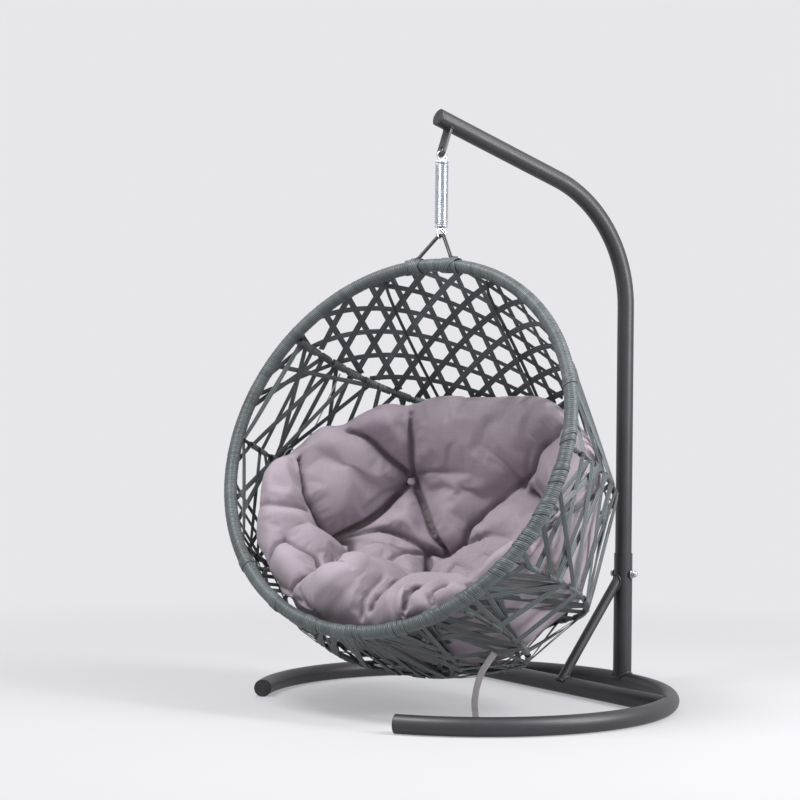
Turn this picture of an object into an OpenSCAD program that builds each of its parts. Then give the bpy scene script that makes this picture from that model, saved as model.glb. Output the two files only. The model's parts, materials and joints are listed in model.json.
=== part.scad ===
// Hanging egg chair: a bent-tube stand, a tension spring and a woven basket
// with a round tufted cushion. Millimetres, +Z up. The origin is the centre of
// the base ring on the ground, and the stand's open front faces -Y.

/* [Base] */
// Radius of the base ring's centre line
ring_r = 442; // [400:1:500]
// Outer diameter of the base and arm tube
tube_d = 38; // [36:0.5:40]
// Wall thickness of every stand tube
tube_wall = 1.8; // [1.5:0.1:2]
// Angle from the front to each open end of the ring
ring_open = 38; // [34:1:42]
// Distance from the ring's centre back to the cross tube
cross_y = 275; // [260:1:290]

/* [Post and arm] */
// Outer diameter of the lower post, which the arm plugs into
post_d = 42.2; // [42.2:0.1:44]
// Height of the lower post's top edge
post_top = 311; // [300:1:330]
// Height at which the arm starts to bend
bend_start = 879; // [860:1:900]
// Radius of the arm's bend
bend_r = 293; // [285:1:300]
// Angle that the arm turns through
bend_angle = 72; // [71:0.5:73]
// Straight length after the bend
arm_reach = 340; // [335:1:345]
// Diameter of the brace tube
brace_d = 22; // [18:1:25]
// Height of the locking bolt
bolt_z = 264; // [255:1:275]
// Turn of the locking bolt from the X axis
bolt_turn = 18; // [0:1:40]

/* [Spring] */
// Wire diameter of the spring
wire_d = 4; // [3.5:0.1:4.2]
// Mean radius of the two end hooks
hook_r = 11; // [11:0.5:12]
// Outer diameter of the coil
coil_d = 29.5; // [28:0.5:32]
// Length of the close-wound coil at rest
coil_len = 138; // [130:1:145]

/* [Basket] */
// Radius of the basket rim's centre line
rim_r = 407; // [400:1:412]
// Outer diameter of the steel tube in the rim
rim_tube_d = 25; // [22:0.5:25]
// Outer diameter of the rim with its wrap
rim_wrap_d = 28.5; // [28:0.5:30]
// Lean of the rim from the vertical
rim_tilt = 21.4; // [18:0.2:24]
// Swivel of the basket about the hanging line
swivel = 24.25; // [0:0.25:30]
// Distance of the rim's top in front of the hanging line
rim_forward = 32.5; // [30:0.5:36]
// Height of the hanger's top above the rim's top
hanger_rise = 67; // [64:0.5:70]
// Depth of the shell behind the rim
shell_depth = 500; // [480:5:510]
// Sag of the shell's deep end below the rim's centre
shell_sag = 92; // [80:1:100]
// Sideways lean of the hand-woven shell for each millimetre of depth
shell_lean = 0.06; // [0:0.01:0.06]

/* [Cushion] */
// Thickness at the cushion's upper edge
cushion_edge = 44; // [40:1:50]
// Thickness at the cushion's front edge
cushion_front = 75; // [60:1:80]
// Thickness at the cushion's middle
cushion_mid = 128; // [110:1:140]

/* [Hidden] */
$fn = 64;

steel_grey = [0.24, 0.25, 0.27];
plastic_black = [0.06, 0.06, 0.07];
zinc = [0.78, 0.80, 0.83];
rattan = [0.33, 0.38, 0.39];
rod_black = [0.10, 0.11, 0.12];
mauve = [0.62, 0.57, 0.61];
tape_grey = [0.66, 0.64, 0.66];

tube_r = tube_d/2;
post_r = post_d/2;
rim_tube_r = rim_tube_d/2;
rim_wrap_r = rim_wrap_d/2;
weld_gap = 0.05;               // room between a saddle-cut end and the tube it is welded to

// Arm: the bend's end, the tip and the hanging point below it
arm_slope = 90 - bend_angle;
bend_end = [0, ring_r - bend_r*(1 - cos(bend_angle)), bend_start + bend_r*sin(bend_angle)];
arm_tip = bend_end + arm_reach*[0, -cos(arm_slope), sin(arm_slope)];
lug_inset = 30;                // from the tip back to the lug
lug_drop = 63;                 // from the arm's centre line down to the lug's hole
lug_w = 28;
lug_t = 5.5;
lug_hole_r = 6.5;
lug_round_drop = 3;            // centre of the rounded end below the hole
lug_hole = arm_tip + lug_inset*[0, cos(arm_slope), -sin(arm_slope)]
    - lug_drop*[0, sin(arm_slope), cos(arm_slope)];
hang_y = lug_hole[1];

// Spring heights, from the lug's hole down
lug_seat_gap = 2.6;          // between the upper hook and the edge of the lug's hole
seat_gap = 0.3;                // between the lower hook and the hanger rod
wire_r = wire_d/2;
upper_ring_z = lug_hole[2] - lug_hole_r + wire_r + lug_seat_gap - hook_r;
coil_top = upper_ring_z - hook_r - wire_d;
coil_base = coil_top - coil_len;
lower_ring_z = coil_base - wire_d - hook_r;
hanger_rod_r = 4;
hanger_top = lower_ring_z - hook_r + wire_r + hanger_rod_r + seat_gap;
rim_top_z = hanger_top - hanger_rise;

module basket_frame() {
    translate([0, hang_y, 0])
        rotate([0, 0, swivel])
            translate([0, -rim_forward, rim_top_z])
                rotate([-rim_tilt, 0, 0])
                    translate([0, 0, -rim_r])
                        children();
}

// ---------------------------------------------------------------- the shell
// Basket coordinates: x to the side, y is the depth behind the rim's plane, z up
// in the rim's plane. Seven level lines cross the shell from rim to rim: 0 is the
// rim's top arc, 1 to 5 are the hoops and 6 is the rim's bottom arc.
LEVEL_Z = [245, 5, -239, -340, -392];       // height of each hoop at the rim
LEVEL_FALL = [0.05, 0, 0, 0.12, 0.16];      // how far it falls for each mm of depth
LEVEL_STEPS = 48;

function section_r(y) = rim_r*pow(max(1e-6, 1 - pow(min(max(y, 0), shell_depth)/shell_depth, 2.6)), 1/2.6);
function section_sag(y) = shell_sag*(1 - exp(-y/250));
function section_wide(y) = 1 + 0.03*sin(180*min(y/440, 1));

// 1 on the shell, less inside it
function shell_reach(x, y, z) =
    y >= shell_depth ? 9 :
    let (r = section_r(y), dz = z + section_sag(y), low = dz < 0,
         p = low ? 2 + 0.5*min(y/250, 1) : 2,
         rz = low ? r*(1 - 0.015*min(y/100, 1)) : r)
    pow(abs(x - shell_lean*y)/(section_wide(y)*r), p) + pow(abs(dz)/rz, p);

function level_reach(i, a, lo, hi, n) =
    n == 0 ? lo :
    let (m = (lo + hi)/2,
         f = shell_reach(-m*cos(a), m*sin(a), LEVEL_Z[i - 1] - LEVEL_FALL[i - 1]*m*sin(a)))
    f > 1 ? level_reach(i, a, lo, m, n - 1) : level_reach(i, a, m, hi, n - 1);

function rim_point(a) = [rim_r*cos(a), 0, rim_r*sin(a)];
function level_angle(i) = asin(LEVEL_Z[i - 1]/rim_r);

function level_exact(i, s) =
    i == 0 ? let (a = level_angle(1)) rim_point(180 - a - (180 - 2*a)*s) :
    i == 6 ? let (a = level_angle(5)) rim_point(180 - a + (180 + 2*a)*s) :
    let (a = 180*s, r = level_reach(i, a, 0, 700, 26))
    [-r*cos(a), r*sin(a), LEVEL_Z[i - 1] - LEVEL_FALL[i - 1]*r*sin(a)];

LEVELS = [for (i = [0:6]) [for (k = [0:LEVEL_STEPS]) level_exact(i, k/LEVEL_STEPS)]];

function level_point(i, s) =
    let (q = s*LEVEL_STEPS, k = min(floor(q), LEVEL_STEPS - 1), f = q - k)
    LEVELS[i][k]*(1 - f) + LEVELS[i][k + 1]*f;

// Between two hoops the strips run straight; near the rim they follow its arc
function mix(a, b, f) = a*(1 - f) + b*f;
function rim_bulge(i, f, side) =
    let (a = level_angle(i), b = level_angle(i + 1), p = rim_point(mix(a, b, f))
             - mix(rim_point(a), rim_point(b), f))
    [side*p[0], 0, p[2]];
function skin(w, s) =
    let (i = min(floor(w), 5), f = w - i,
         p = mix(level_point(i, s), level_point(i + 1, s), f))
    (i == 0 || i == 5) ? p :
    s < 0.15 ? p + pow(1 - s/0.15, 2)*rim_bulge(i, f, -1) :
    s > 0.85 ? p + pow(1 - (1 - s)/0.15, 2)*rim_bulge(i, f, 1) : p;

SHELL_CENTRE = [10, 170, -60];
function unit(a) = a/norm(a);
function skin_out(w, s) =
    let (i = min(floor(w), 5), e = 0.012,
         w0 = max(w - 0.05, i), w1 = min(w + 0.05, i + 0.9999),
         n = unit(cross(skin(w, min(1, s + e)) - skin(w, max(0, s - e)),
                        skin(w1, s) - skin(w0, s))))
    n*((skin(w, s) - SHELL_CENTRE)*n > 0 ? 1 : -1);
function under_skin(w, s, t) = skin(w, s) - t*skin_out(w, s);
// Depth t below both planes that meet at a hoop
function under_hoop(i, s, t) =
    let (a = skin_out(i - 0.01, s), b = skin_out(i + 0.01, s), m = unit(a + b))
    skin(i, s) - t/(m*a)*m;

// Closed solid between two grids of points, each a list of rows
function grid_faces(rows, cols) =
    let (n = rows*cols)
    concat(
        [for (r = [0:rows - 2], c = [0:cols - 2], t = [0, 1])
            t == 0 ? [r*cols + c, r*cols + c + 1, (r + 1)*cols + c + 1]
                   : [r*cols + c, (r + 1)*cols + c + 1, (r + 1)*cols + c]],
        [for (r = [0:rows - 2], c = [0:cols - 2], t = [0, 1])
            t == 0 ? [n + r*cols + c, n + (r + 1)*cols + c + 1, n + r*cols + c + 1]
                   : [n + r*cols + c, n + (r + 1)*cols + c, n + (r + 1)*cols + c + 1]],
        [for (c = [0:cols - 2], t = [0, 1])
            t == 0 ? [c + 1, c, n + c] : [c + 1, n + c, n + c + 1]],
        [for (c = [0:cols - 2], t = [0, 1], k = [(rows - 1)*cols])
            t == 0 ? [k + c, k + c + 1, n + k + c + 1] : [k + c, n + k + c + 1, n + k + c]],
        [for (r = [0:rows - 2], t = [0, 1])
            t == 0 ? [r*cols, (r + 1)*cols, n + (r + 1)*cols]
                   : [r*cols, n + (r + 1)*cols, n + r*cols]],
        [for (r = [0:rows - 2], t = [0, 1], k = [cols - 1])
            t == 0 ? [(r + 1)*cols + k, r*cols + k, n + r*cols + k]
                   : [(r + 1)*cols + k, n + r*cols + k, n + (r + 1)*cols + k]]);
module grid_solid(inner, outer) {
    points = concat([for (row = inner) each row], [for (row = outer) each row]);
    polyhedron(points, grid_faces(len(inner), len(inner[0])), convexity = 6);
}

// Round or flat rod along a path; side is a vector that the path never runs along
module rod(path, half_w, half_t, side, sides = 8) {
    last = len(path) - 1;
    rings = [for (i = [0:last])
        let (t = unit(path[min(i + 1, last)] - path[max(i - 1, 0)]),
             b = unit(cross(t, side)), a = cross(b, t))
        [for (k = [0:sides - 1]) path[i] + half_w*cos(360*(k + 0.5)/sides)*a
            + half_t*sin(360*(k + 0.5)/sides)*b]];
    polyhedron([for (ring = rings) each ring],
        concat(
            [[for (k = [0:sides - 1]) k]],
            [[for (k = [sides - 1:-1:0]) last*sides + k]],
            [for (i = [0:last - 1], k = [0:sides - 1], t = [0, 1])
                let (a = i*sides + k, b = i*sides + (k + 1)%sides)
                t == 0 ? [a, b + sides, b] : [a, a + sides, b + sides]]),
        convexity = 10);
}

// ---------------------------------------------------------------- the stand
module tube_ring(r)
    rotate([0, 0, ring_open - 90])
        rotate_extrude(angle = 360 - 2*ring_open)
            translate([ring_r, tube_r])
                circle(r = r);

module base_ring() color(steel_grey) {
    rotate([0, 0, ring_open - 90])
        rotate_extrude(angle = 360 - 2*ring_open)
            translate([ring_r, tube_r])
                difference() {
                    circle(r = tube_r);
                    circle(r = tube_r - tube_wall);
                }
}

// Plastic end plug: a bevelled head outside the tube and a shank inside it
cap_head = 3;
cap_shank = 14;
cap_shank_r = 16.5;
module end_cap() color(plastic_black) {
    cylinder(r = tube_r, h = cap_head - 1);
    translate([0, 0, cap_head - 1])
        cylinder(r1 = tube_r, r2 = tube_r - 1.5, h = 1);
    translate([0, 0, -cap_shank])
        cylinder(r = cap_shank_r, h = cap_shank);
}
module ring_cap_left() {
    rotate([0, 0, 270 - ring_open])
        translate([ring_r, 0, tube_r])
            rotate([-90, 0, 0])
                end_cap();
}
module ring_cap_right() {
    rotate([0, 0, ring_open - 90])
        translate([ring_r, 0, tube_r])
            rotate([90, 0, 0])
                end_cap();
}

cross_half = sqrt(ring_r*ring_r - cross_y*cross_y);
module cross_bar(r) {
    translate([-cross_half, cross_y, tube_r])
        rotate([0, 90, 0])
            cylinder(r = r, h = 2*cross_half);
}
module cross_tube() color(steel_grey) difference() {
    cross_bar(tube_r);
    cross_bar(tube_r - tube_wall);
    tube_ring(tube_r + weld_gap);
}

post_foot = 24;                // the post's side walls reach down past the ring's top
bolt_r = 5;
bolt_hole_r = 5.2;
module bolt_line(r, from, to) {
    translate([0, ring_r, bolt_z])
        rotate([0, 90, bolt_turn])
            translate([0, 0, from])
                cylinder(r = r, h = to - from);
}
module post_bar(r) {
    translate([0, ring_r, post_foot])
        cylinder(r = r, h = post_top - post_foot);
}
module lower_post() color(steel_grey) difference() {
    post_bar(post_r);
    translate([0, ring_r, post_foot - 1])
        cylinder(r = post_r - tube_wall, h = post_top);
    tube_ring(tube_r + weld_gap);
    bolt_line(bolt_hole_r, -post_d, post_d);
}

brace_top = [0, ring_r - 2, 270];
brace_foot = [0, cross_y - 13, 26];
brace_len = norm(brace_top - brace_foot);
brace_lean = atan((brace_top[1] - brace_foot[1])/(brace_top[2] - brace_foot[2]));
module brace_tube() color(steel_grey) difference() {
    translate(brace_foot)
        rotate([-brace_lean, 0, 0])
            difference() {
                cylinder(d = brace_d, h = brace_len);
                translate([0, 0, -1])
                    cylinder(d = brace_d - 2*tube_wall, h = brace_len + 2);
            }
    post_bar(post_r + weld_gap);
    cross_bar(tube_r + weld_gap);
}

arm_insert = 130;              // length of arm inside the post
bend_mark = 0.05;              // height of the faint ring that the bender leaves at each tangent
bend_mark_half = 0.5;
module arm_section(extra = 0) difference() {
    circle(r = tube_r + extra);
    circle(r = tube_r - tube_wall - extra);
}
// A straight piece of the arm, measured along it from the start of the bend
module arm_straight(from, to, extra = 0)
    translate([bend_r, from, 0])
        rotate([-90, 0, 0])
            linear_extrude(to - from)
                arm_section(extra);
module upper_arm() color(steel_grey) difference() {
    translate([0, ring_r - bend_r, bend_start])
        rotate([90, 0, 90]) {
            arm_straight(post_top - arm_insert - bend_start, -bend_mark_half/2);
            arm_straight(-bend_mark_half, bend_mark_half, bend_mark);
            rotate_extrude(angle = bend_angle)
                translate([bend_r, 0])
                    arm_section();
            rotate([0, 0, bend_angle]) {
                arm_straight(-bend_mark_half, bend_mark_half, bend_mark);
                arm_straight(bend_mark_half/2, arm_reach);
            }
        }
    bolt_line(bolt_hole_r, -post_d, post_d);
}
module arm_tip_cap() {
    translate(arm_tip)
        rotate([bend_angle, 0, 0])
            end_cap();
}

module spring_lug() color(steel_grey) difference() {
    translate(lug_hole)
        rotate([90 - arm_slope, 0, 0])
            linear_extrude(lug_t, center = true)
                difference() {
                    union() {
                        translate([0, -lug_round_drop])
                            circle(d = lug_w);
                        translate([-lug_w/2, -lug_round_drop])
                            square([lug_w, lug_drop]);
                    }
                    circle(r = lug_hole_r);
                }
    translate(arm_tip)
        rotate([bend_angle, 0, 0])
            translate([0, 0, -arm_reach])
                cylinder(r = tube_r + weld_gap, h = 2*arm_reach);
}

// Locking bolt through post and arm, with a curved washer at each side
washer_t = 3;
washer_r = 9.5;
washer_seat = 18.4;            // each washer's flat face, from the post's axis
nut_h = 12;
module lock_bolt() color(zinc) {
    bolt_line(bolt_r, -washer_seat - washer_t - 2.6, washer_seat + washer_t + 2.6);
    bolt_line(8.5, -washer_seat - washer_t - 2.6 - 6.2, -washer_seat - washer_t - 2.6);
}
module saddle_washers() color(plastic_black) difference() {
    union() {
        bolt_line(washer_r, washer_seat, washer_seat + washer_t + 2.5);
        bolt_line(washer_r, -washer_seat - washer_t - 2.5, -washer_seat);
    }
    post_bar(post_r + weld_gap);
    bolt_line(bolt_r + 0.1, -2*post_d, 2*post_d);
}
module dome_nut() color(zinc)
    translate([0, ring_r, bolt_z])
        rotate([0, 90, bolt_turn])
            translate([0, 0, washer_seat + washer_t + 2.6])
                difference() {
                    union() {
                        cylinder(r = 10.5, h = 2);
                        cylinder(r = 8.6, h = 6);
                        translate([0, 0, 6])
                            intersection() {
                                sphere(r = 8);
                                cylinder(r = 9, h = 9);
                            }
                    }
                    translate([0, 0, -1])
                        cylinder(r = bolt_r + 0.1, h = 9);
                }

// ---------------------------------------------------------------- the spring
module hook_ring(z) {
    translate([0, hang_y, z])
        rotate([0, 90, 0])
            rotate_extrude()
                translate([hook_r, 0])
                    circle(r = wire_r);
}
// Last turn of the coil and the short bar that carries the hook
coil_mean_r = coil_d/2 - wire_r;
module hook_neck(turn_z, bar_z) {
    translate([0, hang_y, turn_z])
        rotate_extrude()
            translate([coil_mean_r, 0])
                circle(r = wire_r);
    translate([0, hang_y - coil_mean_r, bar_z])
        rotate([-90, 0, 0])
            cylinder(r = wire_r, h = 2*coil_mean_r);
}
neck_rise = 1.7;               // from the last turn to the bar, between turn and hook
module spring_upper_hook() color(zinc) {
    hook_ring(upper_ring_z);
    hook_neck(coil_top, coil_top + neck_rise);
}
module spring_lower_hook() color(zinc) {
    hook_ring(lower_ring_z);
    hook_neck(coil_base, coil_base - neck_rise);
}
coil_clear = 0.2;
coil_from = coil_base + wire_r + coil_clear;
coil_to = coil_top - wire_r - coil_clear;
coil_turns = floor((coil_to - coil_from)/wire_d);
coil_pitch = (coil_to - coil_from - wire_d)/(coil_turns - 1);
module spring_coil() color(zinc)
    translate([0, hang_y, 0])
        rotate_extrude()
            union() {
                for (k = [0:coil_turns - 1])
                    translate([coil_mean_r, coil_from + wire_r + k*coil_pitch])
                        circle(r = wire_r);
                translate([coil_mean_r - 0.6, coil_from + wire_r])
                    square([1.2, coil_to - coil_from - wire_d]);
            }

// ---------------------------------------------------------------- the basket frame
// Bent rod loop on the rim's top: a round apex, straight legs and feet on the rim
hanger_half = 42;              // half the distance between the feet
hanger_bend_r = 11;            // centre-line radius of the apex
function loop_apex() =         // the apex in basket coordinates
    let (dy = rim_forward, dz = hanger_rise)
    [0, dy*cos(rim_tilt) - dz*sin(rim_tilt), rim_r + dy*sin(rim_tilt) + dz*cos(rim_tilt)];
foot_rise = rim_tube_r + hanger_rod_r - 0.3;
function loop_foot(side) =
    let (a = asin(hanger_half/rim_r))
    [side*(rim_r + foot_rise)*sin(a), 0, (rim_r + foot_rise)*cos(a)];
function loop_path() =
    let (apex = loop_apex(), foot = loop_foot(1), low = [0, foot[1], foot[2]],
         down = unit(low - apex), drop = norm(low - apex),
         // angle of the leg below the horizontal, with the bend's tangent taken off
         lean = atan(drop/foot[0]),
         arc = [for (k = [-4:4]) let (a = k*lean/4)
             [hanger_bend_r*sin(a), hanger_bend_r*(1 - cos(a))]],
         ends = arc[8], slope = (drop - ends[1])/(foot[0] - ends[0]))
    [for (p = concat(
            [[-foot[0] - 14, drop - 0.6], [-foot[0] - 4, drop - 0.9]],
            [for (f = [0.06:0.22:0.98]) [-mix(foot[0], ends[0], f), mix(drop, ends[1], f)]],
            arc,
            [for (f = [0.98:-0.22:0.06]) [mix(foot[0], ends[0], f), mix(drop, ends[1], f)]],
            [[foot[0] + 4, drop - 0.9], [foot[0] + 14, drop - 0.6]]))
        [p[0], apex[1], apex[2]] + p[1]*down];
module hanger_loop() color(steel_grey)
    basket_frame()
        rod(loop_path(), hanger_rod_r, hanger_rod_r, [0, 1, 0.2], 12);

// Strips bound round the rim over each foot of the hanger
binding_half = 3;              // half its angle along the rim
module foot_binding(angle) color(rattan)
    basket_frame()
        rotate([90, 0, 0])
            rotate([0, 0, angle - binding_half])
                rotate_extrude(angle = 2*binding_half)
                    translate([rim_r, 0])
                        difference() {
                            circle(r = rim_wrap_r + 2);
                            circle(r = rim_wrap_r + 0.3);
                        }
foot_angle = asin((hanger_half + 4)/rim_r);
module foot_binding_left() { foot_binding(90 + foot_angle); }
module foot_binding_right() { foot_binding(90 - foot_angle); }

module rim_solid(outer, inner)
    basket_frame()
        rotate([90, 0, 0])
            rotate_extrude()
                translate([rim_r, 0])
                    difference() {
                        circle(r = outer);
                        circle(r = inner);
                    }
module rim_tube() color(rod_black) rim_solid(rim_tube_r, rim_tube_r - 1.5);
module rim_wrap() color(rattan) rim_solid(rim_wrap_r, rim_tube_r + 0.05);

// Hoops: rods that run from rim to rim just inside the strips
weave_t = 2.4;
hoop_r = 4;
wrapped_hoop_r = 5.5;
hoop_gap = 1.7;                // between a rod and the strips over it
hoop_steps = 36;
hoop_end = 11.5;               // depth at which a rod meets the rim tube
function chord_half(i) = sqrt(rim_r*rim_r - LEVEL_Z[i - 1]*LEVEL_Z[i - 1]);
function hoop_path(i, r) =
    let (s0 = asin(hoop_end/chord_half(i))/180)
    [for (k = [0:hoop_steps]) under_hoop(i, s0 + (1 - 2*s0)*k/hoop_steps, weave_t + hoop_gap + r)];
module hoop(i, r = hoop_r) color(rod_black)
    basket_frame()
        rod(hoop_path(i, r), r, r, [0, 0, 1]);
module hoop_upper() { hoop(1, wrapped_hoop_r); }
module hoop_middle() { hoop(2); }
module hoop_lower() { hoop(3); }
module hoop_underside() { hoop(4); }
module hoop_front() { hoop(5); }

// Ribs: straight rods that cross the hoops on their inner side
rib_r = 3.5;
rib_under = weave_t + hoop_gap + 2*wrapped_hoop_r + 0.5 + rib_r;
rib_end = 5.1;                 // level at which a rib ends, past the front hoop's rod
function level_s(i, x, lo = 0, hi = 1, n = 18) =
    n == 0 ? lo :
    let (m = (lo + hi)/2)
    level_point(i, m)[0] > x ? level_s(i, x, lo, m, n - 1) : level_s(i, x, m, hi, n - 1);
function rib_s(w, x) =
    let (i = min(floor(w), 4)) mix(level_s(i, x), level_s(i + 1, x), w - i);
function rib_path(x, steps = 26) =
    let (w0 = hoop_end/level_point(1, level_s(1, x))[1], last = 4.9)
    [for (k = [0:steps]) let (w = mix(w0, last, k/steps), s = rib_s(w, x),
            t = mix(7, rib_under, min(1, (w - w0)/0.12)))
        mix(under_skin(max(w - 0.04, w0), s, t), under_skin(min(w + 0.04, last), s, t), 0.5)];
module rib(x) color(rod_black)
    basket_frame()
        rod(rib_path(x), rib_r, rib_r, [1, 0, 0]);
module rib_left() { rib(-122); }
module rib_right() { rib(133); }

// ---------------------------------------------------------------- the weave
// Each zone between two hoops is a row of thin curved plates in place of its strips
rim_clear = rim_wrap_r + 2.2;  // depth that the plates keep from the rim's plane
plate_gap = 2;                 // from a plate's edge to the fold over a hoop
plate_gap_s = 0.0012;
plate_cols = 5;
PLATE_BREAKS = [0, 0.12, 0.26, 0.42, 0.58, 0.74, 0.88, 1];
function edge_s(w) =
    let (i = min(max(floor(w), 1), 4), c = mix(chord_half(i), chord_half(i + 1), w - i))
    asin(rim_clear/c)/180;
function zone_ws(zone, f, q) =
    zone == 0 ? let (s = 0.06 + 0.88*q, w0 = rim_clear/level_point(1, s)[1])
        [mix(w0, 1, f), s] :
    zone == 5 ? let (s = 0.16 + 0.68*q, w1 = 1 - rim_clear/level_point(5, s)[1])
        [5 + w1*f, s] :
    let (w = zone + f, s0 = edge_s(w)) [w, s0 + (1 - 2*s0)*q];
function plate_grid(zone, q0, q1, t) =
    [for (row = [0:2])
        [for (c = [0:plate_cols])
            let (q = mix(q0, q1, c/plate_cols), s = zone_ws(zone, 0.5, q)[1],
                 g = plate_gap/norm(level_point(zone + 1, s) - level_point(zone, s)),
                 p = zone_ws(zone, mix(g, 1 - g, row/2), q))
            under_skin(p[0], p[1], t)]];
module weave_zone(zone) color(rattan)
    basket_frame()
        for (k = [0:len(PLATE_BREAKS) - 2]) {
            q0 = PLATE_BREAKS[k] + plate_gap_s;
            q1 = PLATE_BREAKS[k + 1] - plate_gap_s;
            grid_solid(plate_grid(zone, q0, q1, weave_t), plate_grid(zone, q0, q1, 0));
        }
module weave_roof() { weave_zone(0); }
module weave_upper_wall() { weave_zone(1); }
module weave_lower_wall() { weave_zone(2); }
module weave_underside() { weave_zone(3); }
module weave_bottom() { weave_zone(4); }
module weave_front_lip() { weave_zone(5); }

// ---------------------------------------------------------------- the cushion
cushion_under = rib_under + rib_r + 10;
cushion_low = 5.7;             // level of its front edge
cushion_side = 0.055;          // distance of its side edges from the rim, as a share of the shell
cushion_fore = 0.62;           // how much thicker it is at the front edge than in the middle
cushion_left = 0.22;           // how much thicker it is at the left edge than in the middle
wall_turn = 0.8;               // part of that turn that the face follows
wall_round = 0.65;             // bulge of the turned edge, as a share of half the thickness
FACE_F = [-0.8, -0.4, 0, 0.09, 0.18, 0.3, 0.42, 0.54, 0.66, 0.78, 0.9, 1, 1.4, 1.8];
FACE_Q = [-0.8, -0.4, 0, 0.08, 0.16, 0.24, 0.32, 0.41, 0.5, 0.6, 0.7, 0.8, 0.9, 1, 1.4, 1.8];
SEAT_CENTRE = [5, 150, 90];    // the nest that the cushion's face closes round

function cushion_top(s) =
    let (b = abs(s - 0.5)/0.42) 0.98 + (s < 0.5 ? 1.22*pow(b, 2.4) : 1.65*pow(b, 3));
function cushion_base(f, q) =
    let (s = mix(cushion_side, 1 - cushion_side, q)) skin(mix(cushion_top(s), cushion_low, f), s);
function cushion_t(f, q) =
    let (g = sqrt(max(0, 16*f*(1 - f)*q*(1 - q))))
    mix(mix(cushion_edge, cushion_front, f), cushion_mid*(1 + cushion_fore*(2*f - 1)), g)
        *(1 + cushion_left*(1 - 2*q));
// Away from the middle of the cushion, square to the line d
function cushion_outward(a, d) = let (c = a - cushion_base(0.5, 0.5)) unit(c - (c*d)*d);
function clamp01(a) = min(max(a, 0), 1);
// Point of the face; beyond 0 or 1 it follows the rounded edge, with 1 more at its full turn
function cushion_face(u, v) =
    let (f = clamp01(u), q = clamp01(v), e = min(norm([u - f, v - q]), wall_turn),
         a = cushion_base(f, q), d = unit(SEAT_CENTRE - a), t = cushion_t(f, q),
         p = a + (cushion_under + t/2*(1 + cos(180*e)))*d, h = 0.02,
         af = unit(cushion_base(min(f + h, 1), q) - cushion_base(max(f - h, 0), q)),
         aq = unit(cushion_base(f, min(q + h, 1)) - cushion_base(f, max(q - h, 0))))
    e == 0 ? p :
    p + wall_round*t/2*sin(180*e)*unit(cushion_outward(a, d) + unit((u - f)*af + (v - q)*aq)/2);
function cushion_below(u, v) =
    let (a = cushion_base(clamp01(u), clamp01(v))) a + cushion_under*unit(SEAT_CENTRE - a);
module cushion() color(mauve)
    basket_frame()
        grid_solid(
            [for (u = FACE_F) [for (v = FACE_Q) cushion_face(u, v)]],
            [for (u = FACE_F) [for (v = FACE_Q) cushion_below((u + 0.8)/2.6, (v + 0.8)/2.6)]]);

// Covered button at one tuft of the back
button_f = 0.18;
button_q = 0.32;
button_r = 10;
button_lift = 4.5;
module cushion_button() color(mauve) {
    place = cushion_face(button_f, button_q);
    n = unit(cross(cushion_face(button_f, button_q + 0.03) - cushion_face(button_f, button_q - 0.03),
                   cushion_face(button_f + 0.05, button_q) - cushion_face(button_f - 0.05, button_q)));
    face = n*(SEAT_CENTRE - place) > 0 ? n : -n;
    basket_frame()
        translate(place + button_lift*face)
            rotate([0, acos(face[2]), atan2(face[1], face[0])]) {
                cylinder(r = button_r, h = 4);
                translate([0, 0, 4])
                    cylinder(r1 = button_r, r2 = button_r - 3, h = 2.5);
            }
}

// ---------------------------------------------------------------- the ties
// Thin cord: from a hoop strip down to the cushion, then a loop back into it
side_tie_d = 3.5;
SIDE_TIE = [[-286, 146, 220], [-293, 150, 205], [-300, 153, 189], [-307, 156, 173],
    [-316, 160, 154], [-324, 164, 135], [-336, 169, 107], [-348, 173, 82],
    [-356, 178, 61], [-361, 182, 47], [-364, 185, 34], [-366, 186, 23],
    [-366, 182, 14], [-366, 174, 11], [-366, 166, 14], [-367, 162, 23],
    [-369, 160, 31], [-371, 154, 37], [-373, 146, 37], [-375, 140, 31],
    [-377, 137, 23], [-379, 137, 13], [-379, 137, 1], [-377, 137, -12],
    [-373, 138, -25], [-368, 140, -37]];
module side_tie() color(tape_grey)
    basket_frame()
        rod(SIDE_TIE, side_tie_d/2, side_tie_d/2, [1, 0, 0]);

// Flat tape: out of the basket's underside and down to the ground
tape_w = 13;
tape_t = 1.6;
BOTTOM_TIE = [[295, -133, 146], [293, -136, 140], [290, -141, 132], [287, -146, 123],
    [284, -151, 114], [281, -155, 104], [279, -158, 94], [277, -160, 84],
    [275, -162, 73], [274, -163, 62], [273, -164, 51], [273, -164, 40],
    [273, -163, 30], [274, -162, 20], [275, -161, 11], [276, -160, 3]];
module bottom_tie() color(tape_grey)
    rod(BOTTOM_TIE, tape_w/2, tape_t/2, [0.54, 0.84, 0]);

base_ring();
ring_cap_left();
ring_cap_right();
cross_tube();
lower_post();
brace_tube();
upper_arm();
arm_tip_cap();
spring_lug();
lock_bolt();
saddle_washers();
dome_nut();
spring_upper_hook();
spring_coil();
spring_lower_hook();
hanger_loop();
foot_binding_left();
foot_binding_right();
rim_tube();
rim_wrap();
hoop_upper();
hoop_middle();
hoop_lower();
hoop_underside();
hoop_front();
rib_left();
rib_right();
weave_roof();
weave_upper_wall();
weave_lower_wall();
weave_underside();
weave_bottom();
weave_front_lip();
cushion();
cushion_button();
side_tie();
bottom_tie();
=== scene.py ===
"""Hanging egg chair: bent-tube stand, tension spring, woven basket and tufted cushion."""
import itertools
import json
import math
import random

import bmesh
import bpy
import numpy as np
from mathutils import Matrix, Vector


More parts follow.
